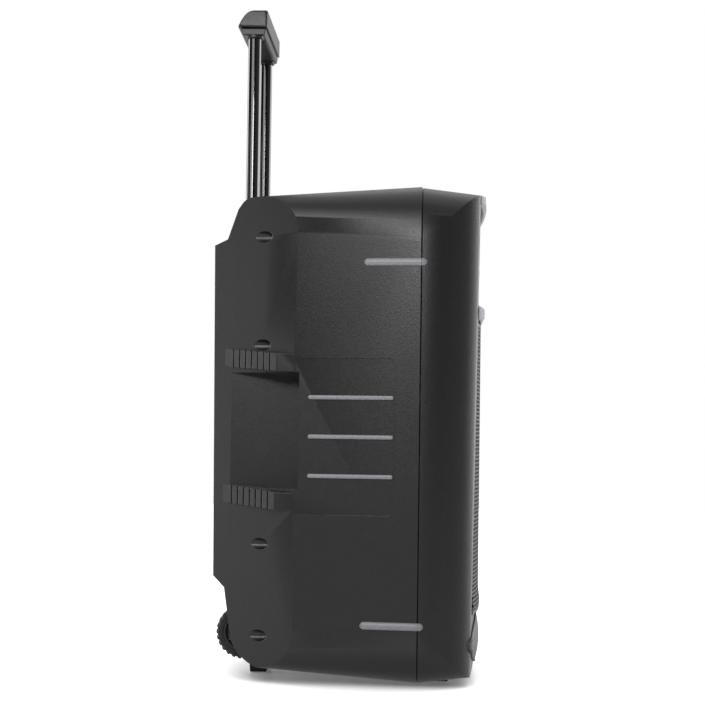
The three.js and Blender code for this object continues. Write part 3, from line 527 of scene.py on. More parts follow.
# ------------------------------------------------------------------ front shell
def fall_front(y):
    return TOP - (SEAM_Y - y) * FRONT_DRAFT


def crown_plan(middle_y, end_y, half, steps=32):
    curve = quadratic((-half, end_y), (0, 2 * middle_y - end_y), (half, end_y), steps)
    return [(half, -100), (-half, -100), *curve]


def lip_and_ledge():
    """The bright bars over the control panel and over the grille, crowned like the face."""
    high, low = CONTROL_Z[1], CONTROL_Z[0]
    lip = [(-150, fall_front(-150) - 0.5), (-188, fall_front(-188)), (-196, high + 11), (-199, high + 9)]
    lip += [(-198.6, high + 5), (-197, high + 3.4), (-187, high), (-150, high)]
    base = GRILLE_Z[1]
    ledge = [(-150, low), (-186, low), (-188.5, low - 1), (-194, low - 5), (-195, low - 7)]
    ledge += [(-195, base + 5), (-194, base + 3), (-190, base), (-150, base)]
    half = OPENING_HALF
    pieces = [prism(outline, "x", -half, half) for outline in (lip, ledge)]
    for piece in pieces:
        meet(piece, prism(crown_plan(-198, -193, half - 0.5), "z", 0, 760))
    return [soften(piece, 0.8, 3, 20) for piece in pieces]


def panel_gasket():
    """A thin dark frame let into the front face round the control panel."""
    half, (z0, z1) = OPENING_HALF, CONTROL_Z
    rim = prism(rounded_rect(-half - 3, half + 3, z0 - 1.8, z1 + 1.8, 9), "y", AHEAD, -175.5)
    cut(rim, prism(rounded_rect(-half, half, z0, z1, 8), "y", -250, -150))
    return meet(rim, front_block(0.4))


def ellipse(z, half_x, half_z, steps=96):
    turns = [2 * PI * i / steps for i in range(steps)]
    return [(half_x * math.cos(t), z + half_z * math.sin(t)) for t in turns]


def front_profile():
    """The front shell from the side, in (y, z), rounded under at its foot."""
    start, end = (FRONT_Y + 25, 4), (FRONT_Y + 1, 55)
    curve = quadratic(start, (FRONT_Y + 3, 12), end, 20)
    return [(-90, -20), *curve, (FRONT_Y - 12, 60), (FRONT_Y - 12, 760), (-90, 760)]


def front_shell():
    """The moulding ahead of the seam, with its baffle behind the two front openings."""
    seam = SEAM_Y - SEAM_HALF
    whole = envelope([(AHEAD, 0), (seam - 0.9, 0), (seam, 1.2)], False)
    meet(whole, front_block(0), prism(front_profile(), "x", -BEYOND, BEYOND))
    hollow = envelope([(AHEAD, WALL), (SEAM_Y + 5, WALL)], False)
    meet(hollow, front_block(WALL), block(-BEYOND, BEYOND, BAFFLE_Y + WALL, SEAM_Y + 5, UNDER, OVER))
    posts = []
    for z in SCREW_Z:
        posts += both(lambda side: rod("y", side * SCREW_X, z, 8, BAFFLE_Y + 1, SEAM_Y - 0.3, 24))
    cut(hollow, *posts)
    half = OPENING_HALF
    openings = [rounded_rect(-half, half, z0, z1, 8) for z0, z1 in (CONTROL_Z, GRILLE_Z)]
    cut(whole, *[prism(outline, "y", AHEAD, BAFFLE_Y) for outline in openings])
    gasket_seat = rounded_rect(-half - 3.2, half + 3.2, CONTROL_Z[0] - 2, CONTROL_Z[1] + 2, 9)
    cut(whole, prism(gasket_seat, "y", AHEAD, -178))
    gap = 0.6
    seat = prism(ellipse(TRIM.z, TRIM.half_x + gap, TRIM.half_z + gap), "y", AHEAD, -150)
    cut(seat, front_block(TRIM.sunk + gap / 2))
    holes = [
        hollow,
        seat,
        rod("y", 0, WOOFER_Z, 141, *THROUGH, 96),
        block(-106, 106, *THROUGH, HORN_Z - 37, HORN_Z + 37),
        block(-135, 135, *THROUGH, CONTROL_Z[0] + 14.5, CONTROL_Z[1] - 13),
    ]
    holes += both(lambda side: rod("y", side * PORT.x, PORT.z, PORT.r + 3, *THROUGH, 40))
    return cut(whole, *holes)


def front_y(x, z=MID_Z):
    """The front face's surface at x, with its lean at height z."""
    centre, level = HALF_WIDTH - CHEEK_R, SEAM_Y - 1.5
    edge_x = centre + CHEEK_R * math.cos(CHEEK_SWEEP)
    edge_y = level - CHEEK_R * math.sin(CHEEK_SWEEP)
    if abs(x) > edge_x:
        y = level - math.sqrt(CHEEK_R**2 - (abs(x) - centre) ** 2)
    else:
        t = (x / edge_x + 1) / 2
        y = edge_y + 4 * t * (1 - t) * (FRONT_Y - edge_y)
    return y - LEAN * (z - MID_Z)


def lower_trim():
    """An oval plate: a bead round its rim, a groove, then a shallow dome."""
    rim, proud, edge = TRIM.rim, TRIM.proud, 0.91
    steps = [(1, -TRIM.sunk), (1, rim - 0.6), (0.994, rim), (0.975, rim + 0.7)]
    steps += [(0.955, rim), (0.94, rim - 1), (0.925, rim - 0.4)]
    for i in range(13):
        share = edge * (1 - i / 13)
        steps.append((share, rim + (proud - rim) * (1 - (share / edge) ** 2.2)))
    steps.append((0.01, proud))
    rings = []
    for share, out in steps:
        ring = ellipse(TRIM.z, TRIM.half_x * share, TRIM.half_z * share)
        rings.append([(x, front_y(x, z) - out, z) for x, z in ring])
    return loft("lower_trim_plate", rings)


# ------------------------------------------------------------------ grille
def grille_spot(u, z):
    """Across the front u is x; past the roll it runs back along the side flange."""
    half, roll = GRILLE.half, GRILLE.roll
    flat = half - roll
    over = abs(u) - flat
    x = min(abs(u), flat)
    t = (x / half + 1) / 2
    y = GRILLE.end_y + 4 * t * (1 - t) * (GRILLE.middle_y - GRILLE.end_y)
    y -= 2 * math.exp(-(((z - GRILLE.z0 - 13) / 14) ** 2))
    if over > 0:
        bend = min(over / roll, PI / 2)
        x += roll * math.sin(bend)
        y += roll * (1 - math.cos(bend)) + max(0, over - roll * PI / 2)
    return (math.copysign(x, u), y, z)


def grille_reach():
    half, roll = GRILLE.half, GRILLE.roll
    bend_start = Vector(grille_spot(half - roll, 300)).y
    return half - roll + roll * PI / 2 + (GRILLE.back_y - bend_start - roll)


def grille_mesh():
    """A sheet of hexagonal holes, wrapped on to the crown and its flanges; grille() adds the plain border.
    """
    pitch, hole = GRILLE.pitch, GRILLE.hole
    outer = pitch / math.sqrt(3)
    reach = grille_reach() - 1
    low, high = GRILLE.z0 + 1, GRILLE.z1 - 1
    points, faces = [], []
    columns = int((reach - 3) / pitch)
    rows = int((high - low - 8) / (outer * 1.5))
    start_z = (low + high - rows * outer * 1.5) / 2
    for row in range(rows + 1):
        shift = pitch / 2 if row % 2 else 0
        for column in range(-columns, columns + (0 if row % 2 else 1)):
            u0, z0 = column * pitch + shift, start_z + row * outer * 1.5
            base = len(points)
            for radius in (outer, pitch * hole):
                points += [grille_spot(u0 + a, z0 + b) for a, b in ring_of(6, radius, PI / 6)]
            for a in range(6):
                b = (a + 1) % 6
                faces.append((base + a, base + b, base + 6 + b, base + 6 + a))
    sheet = mesh_object("grille_sheet", points, faces)
    work = bmesh.new()
    work.from_mesh(sheet.data)
    bmesh.ops.remove_doubles(work, verts=work.verts, dist=0.01 * MM)
    work.to_mesh(sheet.data)
    work.free()
    return sheet


def strip(bottom, top):
    """A strip between two lines of points."""
    count = len(bottom)
    faces = [(i, i + 1, count + i + 1, count + i) for i in range(count - 1)]
    return mesh_object("strip", bottom + top, faces)


def thicken(obj, thickness):
    step = obj.modifiers.new("thicken", "SOLIDIFY")
    step.thickness = thickness * MM
    step.offset = 0
    return bake(obj)


def fuse(name, objects):
    """Joins objects into one mesh without a boolean."""
    work = bmesh.new()
    for obj in objects:
        work.from_mesh(obj.data)
    mesh = bpy.data.meshes.new(name)
    work.to_mesh(mesh)
    work.free()
    for obj in objects:
        bpy.data.objects.remove(obj)
    return link(name, mesh)


def grille():
    reach, low, high = grille_reach(), GRILLE.z0 + 1, GRILLE.z1 - 1
    across = [reach * (2 * i / 120 - 1) for i in range(121)]
    upright = [low + (high - low) * i / 60 for i in range(61)]
    border = []
    for z0, z1, back in ((low, low + 6, low), (high - 6, high, high)):
        border.append(strip(*[[grille_spot(u, z) for u in across] for z in (z0, z1)]))
        edge = [grille_spot(u, back) for u in across]
        border.append(strip(edge, [(x * 0.99, max(y + 8, -186), z) for x, y, z in edge]))
    for side in (-1, 1):
        lines = [[grille_spot(side * u, z) for z in upright] for u in (reach, reach - 3.5)]
        border.append(strip(*lines))
    sheet = thicken(grille_mesh(), 1.1)
    return fuse("grille_mesh", [sheet, *[thicken(piece, 1.5) for piece in border]])


# ------------------------------------------------------------------ drivers
def cross_screw(x, z, face, out, radius, length):
    """A pan-head screw with a cross recess; out is +1 or -1 along y."""
    shank, rim, rise = radius * 0.62, 0.9, radius * 0.32
    profile = [(0.01, face - out * length), (shank, face - out * length), (shank, face)]
    profile += [(radius, face), (radius, face + out * rim), *dome(radius, face + out * rim, out * rise)]
    head = turned("screw", profile, "y", x, z, 32)
    low, high = sorted((face + out * 0.6, face + out * 5))
    return cut(head, *cross_slots(x, z, radius * 0.6, radius * 0.13, low, high))


def ring_of(count, radius, turn=0):
    """Points evenly spaced round a circle about the origin."""
    turns = [turn + 2 * PI * i / count for i in range(count)]
    return [(radius * math.cos(t), radius * math.sin(t)) for t in turns]


def woofer_frame():
    """The pressed basket with six windows and eight screws."""
    profile = [(141, -168.3), (150.8, -168.3), (152, -167.4), (152, -165.3), (139.5, -165.3), (134, -150)]
    profile += [(72, -82), (72, -76), (30, -76), (30, -80), (68, -80), (131, -149), (137, -166)]
    body = turned("woofer_basket", profile, "y", 0, WOOFER_Z, 128)
    cut(body, *[rod("y", u, WOOFER_Z + v, 24, -148, -84, 24) for u, v in ring_of(6, 103)])
    screws = []
    for u, v in ring_of(8, 146.5, PI / 8):
        screws.append(cross_screw(u, WOOFER_Z + v, -168.3, -1, 4, 1))
    return fuse("woofer_basket", [body, *screws])


def woofer_surround():
    """A half-round rubber roll with fine ripples, from the basket's rim to the cone."""
    inner, outer, roll, front_y, back_y = 119, 140, 8, -170.4, -168.8
    middle = (inner + outer) / 2
    front, back = [(outer, front_y)], [(outer, back_y)]
    for i in range(25):
        angle = PI * i / 24
        rise, under = roll + 0.25 * math.cos(angle * 10), roll - 1.2
        front.append((middle + rise * math.cos(angle), front_y - rise * math.sin(angle) * 0.97))
        back.append((middle + under * math.cos(angle), back_y - under * math.sin(angle)))
    front.append((inner, front_y))
    back.append((inner, back_y))
    return turned("woofer_roll", back + front[::-1], "y", 0, WOOFER_Z, 144)


def woofer_cone():
    """A ribbed paper cone with its voice-coil former."""
    front, back = [], []
    for i in range(41):
        share = i / 40
        radius = 118.4 - (118.4 - 30.5) * share
        depth = -169 + 48 * share**0.92
        rib = 0.45 * max(0, math.cos(share * 2 * PI * 7)) ** 3 if 0.08 < share < 0.95 else 0
        front.append((radius, depth - rib))
        back.append((radius, depth + 2.2))
    former = [(30.5, -105), (33, -105)]
    return turned("woofer_paper", front + former + back[::-1], "y", 0, WOOFER_Z, 144)


def dust_cap():
    profile = [(0.01, -125), (34, -125.5), (40, -128.5), *dome(40, -128.5, -14, 17)]
    return turned("dust_dome", profile, "y", 0, WOOFER_Z, 96)


def woofer_magnet():
    """The pole plates and the ring magnet between them."""
    profile = [(0.01, -75.7), (58, -75.7), (60, -74), (60, -68), (62, -67), (62, -47), (60, -46)]
    profile += [(56, -45.5), (56, -41.5), (54, -40), (14, -40), (12, -42), (0.01, -42)]
    return turned("magnet_stack", profile, "y", 0, WOOFER_Z, 96)


def squircle(half_u, half_v, power, u0=0, v0=0, steps=96):
    points = []
    for i in range(steps):
        angle = 2 * PI * (i + 0.5) / steps
        c, s = math.cos(angle), math.sin(angle)
        u = u0 + half_u * math.copysign(abs(c) ** (2 / power), c)
        v = v0 + half_v * math.copysign(abs(s) ** (2 / power), s)
        points.append((u, v))
    return points


def horn():
    """A flange and an exponential flare from a wide mouth to a round throat."""
    stations = []
    for i in range(15):
        share = i / 14
        pinch, power = (1 - share) ** 1.7, 2 + 10 * (1 - share) ** 2
        stations.append((12 + 94 * pinch, 12 + 25 * pinch, power, -168.8 + 56.8 * share))
    rings = [(110, 39.5, 14, -169.5), *stations]
    rings += [(x + 2.4, z + 2.4, p, y + 1) for x, z, p, y in reversed(stations[1:-1])]
    rings += [(107, 38, 14, -165.3), (122, 46, 16, -165.3)]
    rings += [(122, 46, 16, -168.9), (121.3, 45.3, 16, -169.5)]
    skins = [[(x, y, z) for x, z in squircle(hx, hz, p, 0, HORN_Z)] for hx, hz, p, y in rings]
    body = loft("horn_flare", skins, True)
    screws = []
    for u in (-114, 114):
        for v in (-38, 38):
            screws.append(cross_screw(u, HORN_Z + v, -169.5, -1, 3.6, 1))
    return fuse("horn_flare", [body, *screws])


def horn_driver():
    """A compression driver: throat, body and a groove round its magnet."""
    profile = [(0.01, -111.2), (30, -111.2), (30, -104.2), (39, -104.2), (41, -102), (41, -94), (39.5, -93)]
    profile += [(39.5, -90), (41, -89), (41, -72), (38, -68), (0.01, -68)]
    return turned("compression_driver", profile, "y", 0, HORN_Z, 72)


def port_tube(side):
    """A bass port with a flared mouth."""
    x, z, r = side * PORT.x, PORT.z, PORT.r
    front, seat, outer = BAFFLE_Y - 3.3, BAFFLE_Y - 0.3, r + 2.4
    flare = arc(r + 5, front + 5, 5, -PI / 2, -PI, 8)
    profile = [(r + 5, seat), (r + 5.6, front + 1.2), (r + 5, front), *flare[1:], (r, -60)]
    profile += [(outer, -60), (outer, seat)]
    return turned("port_sleeve", profile, "y", x, z, 64)


# ------------------------------------------------------------------ control panel
def button_x(index):
    return (index - (len(BUTTONS) - 1) / 2) * BUTTON.pitch


def control_panel():
    """The plate with its openings, dished seats round the knobs and a seat for the screen."""
    half, (z0, z1), (front, back), gap = OPENING_HALF - 0.8, CONTROL_Z, THROUGH, 0.6
    outline = rounded_rect(-half, half, z0 + 0.8, z1 - 0.8, 7)
    plate = soften(prism(outline, "y", PANEL_Y, BAFFLE_Y - 0.3, "panel_plate"), 0.9)
    tools = [rod("y", x, KNOB_Z, 4, front, back, 24) for x, _ in KNOBS.values()]
    for x, radius in KNOBS.values():
        rim, floor = radius + 2.6, PANEL_Y + 0.8
        dish = [(rim, front), (rim, PANEL_Y), (radius + 1.8, floor), (0.01, floor), (0.01, front)]
        tools.append(turned("tool", dish, "y", x, KNOB_Z, 64))
    hx, hz = BUTTON.half_x + gap, BUTTON.half_z + gap
    tools += [slab(button_x(i), BUTTON.z, hx, hz, 2, front, back) for i in range(len(BUTTONS))]
    tools += [rod("y", x, JACK_Z, 7.6, front, back, 40) for x in JACKS.values()]
    tools.append(block(USB_X - 9, USB_X + 9, front, back, JACK_Z - 5, JACK_Z + 5))
    hx, hz = DISPLAY.half_x + gap, DISPLAY.half_z + gap
    tools.append(slab(0, DISPLAY.z, hx, hz, 2.5, front, PANEL_Y + 1.5))
    return cut(plate, *tools)


def knob(x, radius):
    """A skirted knob with a fluted grip and a dished cap."""
    face = PANEL_Y - 0.3
    flutes, steps = (24, 192) if radius > 15 else (16, 128)
    rows = [(0.1, 11.5), (3.5, 11.5), (3.5, 0), (radius - 0.4, 0), (radius, -0.5), (radius, -2.4)]
    rows += [(radius - 0.6, -3.1), (radius * 0.87, -3.4), (radius * 0.86, -4, 0.2)]
    rows += [(radius * 0.85, -5, 0.9), (radius * 0.8, -12.4, 0.8), (radius * 0.79, -13.2, 0.2)]
    rows += [(radius * 0.76, -13.9), (radius * 0.7, -14.2), (radius * 0.64, -13.6)]
    rows += [(radius * 0.2, -13.2), (0.1, -13.2)]

    def ring(size, along, flute=0):
        points = []
        for i in range(steps):
            angle = 2 * PI * i / steps
            reach = size - flute * abs(math.sin(angle * flutes / 2))
            points.append((x + reach * math.cos(angle), face + along, KNOB_Z + reach * math.sin(angle)))
        return points

    return loft("knob", [ring(*row) for row in rows])


def knob_pointer(x, radius):
    face = PANEL_Y - 0.3
    outline = rounded_rect(x - 0.9, x + 0.9, KNOB_Z + radius * 0.2, KNOB_Z + radius * 0.74, 0.8, 4)
    return soften(prism(outline, "y", face - 14.7, face - 13, "pointer"), 0.25, 2)


def dial_ticks():
    """Printed dashes round each knob, with longer ones at the ends and in the middle."""
    ticks = []
    for x, radius in KNOBS.values():
        for i in range(11):
            angle = math.radians(-60 + 30 * i)
            length = 3 if i in (0, 5, 10) else 1.8
            inner, outer, wide = radius + 4, radius + 4 + length, 0.45
            c, s = math.cos(angle), math.sin(angle)
            outline = []
            for reach, side in ((inner, -1), (outer, -1), (outer, 1), (inner, 1)):
                outline.append((x + reach * c - side * wide * s, KNOB_Z + reach * s + side * wide * c))
            ticks.append(prism(outline, "y", PANEL_Y - 0.15, PANEL_Y + 0.2))
    return fuse("dial_ticks", ticks)


def push_button(index):
    """A key cap standing out of its opening in the plate."""
    at, half = (button_x(index), BUTTON.z), (BUTTON.half_x, BUTTON.half_z)
    return soften(slab(*at, *half, 1.5, PANEL_Y - 2, BAFFLE_Y + 3, "key"), 0.5)


def triangle(u, v, size, way):
    return [(u - way * size, v - size), (u - way * size, v + size), (u + way * size, v)]


def button_icon(index):
    """Generic transport marks."""
    u, v, tall = button_x(index), BUTTON.z, 1.5
    low, high = v - tall, v + tall
    shapes = {
        "mode": [circle(u, v, 1.7, 20)],
        "previous": [triangle(u + 1, v, tall, -1), rounded_rect(u - 2, u - 1.3, low, high, 0.1, 1)],
        "play": [triangle(u, v, 1.8, 1)],
        "next": [triangle(u - 1, v, tall, 1), rounded_rect(u + 1.3, u + 2, low, high, 0.1, 1)],
        "record": [circle(u, v, 2, 20)],
    }[BUTTONS[index]]
    marks = [prism(shape, "y", PANEL_Y - 2.15, PANEL_Y - 1.8) for shape in shapes]
    return fuse("icon_" + BUTTONS[index], marks)


def jack_socket(x):
    """A threaded bush with a hexagonal nut."""
    y = PANEL_Y
    hexagon = [(x + a, JACK_Z + b) for a, b in ring_of(6, 8.9)]
    nut = soften(prism(hexagon, "y", y - 1.2, y - 0.2, "nut"), 0.3, 2, 20)
    cut(nut, rod("y", x, JACK_Z, 5.6, y - 5, y + 5, 32))
    profile = [(3.3, y - 1.5), (3.7, y - 1.9), (5.4, y - 1.9), (5.6, y - 1.5), (5.6, y)]
    profile += [(7.2, y + 0.5), (7.2, y + 28), (3.3, y + 28)]
    bush = turned("bush", profile, "y", x, JACK_Z, 48)
    return fuse("jack", [nut, bush])


def seven_segment(u, v, size, lit):
    """The lit bars of one digit, as outlines."""
    half, thick = size / 2, size * 0.14
    bars = {
        "a": (u, v + size, True),
        "b": (u + half, v + half, False),
        "c": (u + half, v - half, False),
        "d": (u, v - size, True),
        "e": (u - half, v - half, False),
        "f": (u - half, v + half, False),
        "g": (u, v, True),
    }
    outlines = []
    for key in lit:
        cu, cv, level = bars[key]
        run, rise = (half - thick * 0.7, thick * 0.5) if level else (thick * 0.5, half - thick * 0.7)
        outlines.append(rounded_rect(cu - run, cu + run, cv - rise, cv + rise, thick * 0.3, 2))
    return outlines


def display_digits():
    """Four seven-segment digits with two dots between the pairs."""
    marks = []
    for i, digit in enumerate("1280"):
        u = -22.5 + 15 * i
        marks += seven_segment(u, DISPLAY.z, 6.5, DIGITS[digit])
    marks += [circle(0, DISPLAY.z + v, 0.9, 12) for v in (-3, 3)]
    bars = [prism(outline, "y", PANEL_Y - 0.78, PANEL_Y - 0.5) for outline in marks]
    return fuse("display_digits", bars)


# ------------------------------------------------------------------ rear panel and electronics
def rear_panel():
    """A steel plate with its openings, cooling slots over the heat sink and six screws."""
    half, z0, z1, y = vars(REAR_PANEL).values()
    edge, gap = 0.3, 0.5
    outline = rounded_rect(-half + edge, half - edge, z0 + edge, z1 - edge, 4)
    plate = soften(prism(outline, "y", y - 2.7, y, "amp_plate"), 0.5, 2)
    tools = []
    for switch in (INLET, ROCKER):
        x, z, hx, hz = switch.x, switch.z, switch.half_x + gap, switch.half_z + gap
        tools.append(block(x - hx, x + hx, y - 10, y + 5, z - hz, z + hz))
    for row in range(12):
        for x in (-26, 26):
            tools.append(slab(x, 404 + row * 8, 22, 1.6, 1.5, y - 8, y + 5, steps=4))
    cut(plate, *tools)
    screws = []
    for u in (-half + 6, half - 6):
        for v in (z0 + 7, (z0 + z1) / 2, z1 - 7):
            screws.append(cross_screw(u, v, y, 1, 3.6, 1.5))
    return fuse("amp_plate", [plate, *screws])


def power_inlet():
    """A flanged three-pin inlet."""
    x, z, hx, hz = vars(INLET).values()
    y = REAR_PANEL.y
    flange = soften(slab(x, z, 20, 15, 2.5, y + 0.3, y + 2.3, "inlet"), 0.5, 2)
    join(flange, block(x - hx, x + hx, y - 26, y + 1, z - hz, z + hz))
    corners = ((-12.5, -9), (12.5, -9), (12.5, 4), (7.5, 9), (-7.5, 9), (-12.5, 4))
    cut(flange, prism([(x + u, z + v) for u, v in corners], "y", y - 15, y + 5))
    pins = []
    for u, v in ((x - 6, z - 2.5), (x, z + 2.5), (x + 6, z - 2.5)):
        pins.append(soften(block(u - 1, u + 1, y - 18, y - 2, v - 2, v + 2, "pin"), 0.4, 2))
    return fuse("inlet_body", [flange]), fuse("inlet_pins", pins)


def power_rocker():
    """A dished rocker with an on bar and an off ring."""
    x, z, hx, hz = vars(ROCKER).values()
    y = REAR_PANEL.y
    face = quadratic((y + 3.5, z - hz), (y - 1.1, z), (y + 3.5, z + hz), 16)
    outline = [(y - 6, z - hz + 1.5), *face, (y - 6, z + hz - 1.5)]
    cap = soften(prism(outline, "x", x - hx + 0.3, x + hx - 0.3, "rocker_cap"), 0.4, 2)
    low, high = y + 1.5, y + 2.4
    bar = block(x - 0.4, x + 0.4, low, high, z + 4, z + 7)
    ring = turned("ring", [(1.1, low), (1.7, low), (1.7, high), (1.1, high)], "y", x, z - 5.4, 24)
    return cap, fuse("rocker_marks", [bar, ring])


def heat_sink():
    plate = block(-51, 51, 180, 186, 400, 500, "sink")
    fins = [block(-49.5 + i * 12, -46.5 + i * 12, 160, 181, 400, 500) for i in range(9)]
    return soften(join(plate, *fins), 0.5, 2)


def amplifier_board():
    """The board, and a toroid, capacitors, chips and connectors on it."""
    face = 154
    board = soften(block(-60, 60, face, face + 2, 310, 505, "amp_board"), 0.3, 1)
    ring = [(6, 140), (14, 137), (20, 140), (20, 150), (14, 153.5), (6, 150)]
    parts = [turned("coil", ring, "y", -30, 350, 48)]
    cans = ((10, 330, 9, 17), (34, 330, 9, 17), (10, 360, 6, 12), (30, 360, 6, 12), (44, 352, 4, 9))
    for u, v, radius, tall in cans:
        top = face - 2 - tall
        profile = [(0.01, face), (radius, face), (radius, top + 1), (radius - 0.8, top), (0.01, top)]
        parts.append(turned("can", profile, "y", u, v, 32))
    chips = ((-30, 400, 12, 9, 4), (20, 410, 8, 8, 3), (-20, 450, 14, 6, 5), (36, 455, 6, 16, 8))
    for u, v, hu, hv, tall in chips:
        parts.append(soften(block(u - hu, u + hu, face - tall, face, v - hv, v + hv, "chip"), 0.5, 2))
    return board, fuse("board_parts", parts)


def battery():
    """A sealed block with a lid line, end ribs and two terminals."""
    case = soften(block(-75.5, 75.5, 38, 103, 27, 113, "case"), 2.5, 4)
    lid = soften(block(-74.5, 74.5, 39, 102, 113, 117.5, "lid"), 1.5, 3)
    ribs = []
    for x in range(-70, 71, 20):
        ribs.append(soften(block(x, x + 4, 38, 39.5, 34, 108, "rib"), 0.6, 2))
    tags = [soften(block(u - 5, u + 5, 92, 100, 117, 121, "tag"), 0.8, 2) for u in (-60, 60)]
    return fuse("battery_case", [case, lid, *ribs]), fuse("battery_tags", tags)


# ------------------------------------------------------------------ trolley handle
def on_tube(name, profile, side, steps):
    """A profile turned round a handle tube's axis."""
    return turned(name, profile, "z", side * TUBE_X, TUBE_Y, steps)


def trolley_tube(side):
    low, top, r = TUBE_BOTTOM, GRIP.bottom - 2.3, TUBE_R
    profile = [(0.01, low), (r - 1.4, low), (r - 0.4, low + 0.4), (r, low + 1.4)]
    profile += [(r, top - 1), (r - 1, top), (0.01, top)]
    return on_tube("tube", profile, side, 64)


def trolley_sleeve(side):
    """The steel guide that the tube slides in, with a collar at its top."""
    low, high = 265, BAY.floor_z - 4.3
    profile = [(10.1, low), (11.4, low), (12, low + 0.8), (12, high - 6), (13.4, high - 5)]
    profile += [(13.4, high - 0.6), (12.8, high), (10.1, high)]
    return on_tube("sleeve", profile, side, 48)


def tube_collar(side):
    """The plastic ring round the tube on the bay's floor."""
    low, inner = BAY.floor_z + 0.3, TUBE_R + 0.5
    profile = [(inner, low), (15, low), (15, low + 1.2), (13.8, low + 2), (12.4, low + 2.2)]
    profile += [(12, low + 3.6), (11.4, low + 4), (inner, low + 4)]
    return on_tube("collar", profile, side, 64)


def grip_outline(inset):
    """Side profile of the grip's upper shell."""
    front, rear = GRIP.front + inset, GRIP.rear - inset
    top, low = GRIP.top - inset, GRIP.bottom + inset
    points = [(front, low), (rear - 1.5, low + 1), (rear, low + 2.5)]
    ends = ((rear, low + 2.5), (167 - inset, GRIP.bottom + 16), (160, top), (TUBE_Y, top))
    for i in range(1, 17):
        t = i / 16
        weights = ((1 - t) ** 3, 3 * t * (1 - t) ** 2, 3 * t * t * (1 - t), t**3)
        points.append(tuple(sum(w * p[k] for w, p in zip(weights, ends)) for k in (0, 1)))
    corner = 3
    points += arc(front + corner, top - corner, corner, PI / 2, PI, 6)
    return points


def grip_shell():
    """Rounded towards its ends, with an opening for the release key and a shallow thumb dish."""
    half = GRIP.half
    rings = []
    for x, inset in ((0, 4), (0.6, 2.2), (2, 0.9), (4.5, 0.2), (7, 0)):
        rings.append([(-half + x, y, z) for y, z in grip_outline(inset)])
    rings += [[(-x, y, z) for x, y, z in ring] for ring in reversed(rings)]
    shell = loft("grip_cover", rings)
    top = GRIP.top
    key = prism(rounded_rect(-16.6, 16.6, 132.9, 147.1, 3.2), "z", top - 8, top + 5)
    dish = prism(rounded_rect(-20, 20, 130.5, 149.5, 6), "z", top - 0.6, top + 5)
    cut(shell, dish, key)
    grooves = []
    for x in (-half + 9, half - 9):
        line = block(x - 0.3, x + 0.3, 100, 200, 940, 990)
        grooves.append(cut(line, prism(grip_outline(0.7), "x", -half - 5, half + 5)))
    return cut(shell, *grooves)


def grip_tray():
    """The lower half: finger ridges underneath and a collar round each tube."""
    top, low = GRIP.bottom - 0.3, GRIP.tray
    section, half = [(133, low), (165, low), (169, top), (131, top)], GRIP.half - 2
    body = soften(prism(section, "x", -half, half, "grip_base"), 1.6, 4)
    ridges = []
    for x in range(-56, 57, 7):
        ridge = prism(arc(x, low + 0.4, 2.4, PI, 2 * PI, 8), "y", 136, 162)
        ridges.append(soften(ridge, 0.5, 2))
    collar = [(9, low + 2), (12.4, low + 2), (13, low), (13, low - 3), (12, low - 4), (9, low - 4)]
    join(body, *ridges, *both(lambda side: on_tube("collar", collar, side, 48)))
    bore = (TUBE_R + 0.3, low - 20, GRIP.bottom - 2, 48)
    return cut(body, *both(lambda side: rod("z", side * TUBE_X, TUBE_Y, *bore)))


def release_key():
    """The thumb button on the grip, with grooves across it."""
    top = GRIP.top
    key = prism(rounded_rect(-16, 16, 133.5, 146.5, 3), "z", top - 4.5, top + 1.5, "release_cap")
    soften(key, 0.8)
    grooves = [rod("y", -8 + i * 4, top + 2.1, 1.1, 120, 160, 16) for i in range(5)]
    return cut(key, *grooves)


# ------------------------------------------------------------------ wheels and feet
def wheel_profile(half, x0, x1, crown=()):
    """A wheel's closed section, the same on both faces; half is (radius, inset) from its bore out."""
    near = [(radius, x0 + inset) for radius, inset in half]
    far = [(radius, x1 - inset) for radius, inset in reversed(half)]
    return [far[-1], *near, *crown, *far[:-1]]


def tyre_lug(middle, half, mid_angle):
    """One lug, from the tread's middle over one shoulder."""
    y, z, r = WHEEL.y, WHEEL.z, WHEEL.r
    sections = ((0.6, r - 3, r - 0.3, 0.05), (9.5, r - 3, r, -0.01))
    sections += ((12.6, r - 5, r - 2.2, -0.03), (13.7, r - 7, r - 4.6, -0.035))
    rings = []
    for reach, low, high, skew in sections:
        ring = []
        for angle, radius in ((-0.055, low), (-0.05, high), (0.05, high), (0.055, low)):
            turn = mid_angle + angle + skew
            ring.append((middle + half * reach, y + radius * math.cos(turn), z + radius * math.sin(turn)))
        rings.append(ring)
    return loft("lug", rings)


def tyre(side):
    """A tyre with chevron lugs that fold over both shoulders."""
    x0, x1 = wheel_span(side)
    r, middle = WHEEL.r, (x0 + x1) / 2
    half = [(28.3, 2), (29, 1), (31, 0.6), (33, 1.3), (r - 4, 1.3), (r - 1.8, 4.5)]
    profile = wheel_profile(half, x0, x1, [(r - 1.4, middle)])
    pieces = [turned("tyre_carcass", profile, "x", WHEEL.y, WHEEL.z, 104)]
    for i in range(LUGS):
        for way, phase in ((-1, 0), (1, 0.5)):
            pieces.append(tyre_lug(middle, way, 2 * PI * (i + phase) / LUGS))
    return fuse("tyre_tread", pieces)


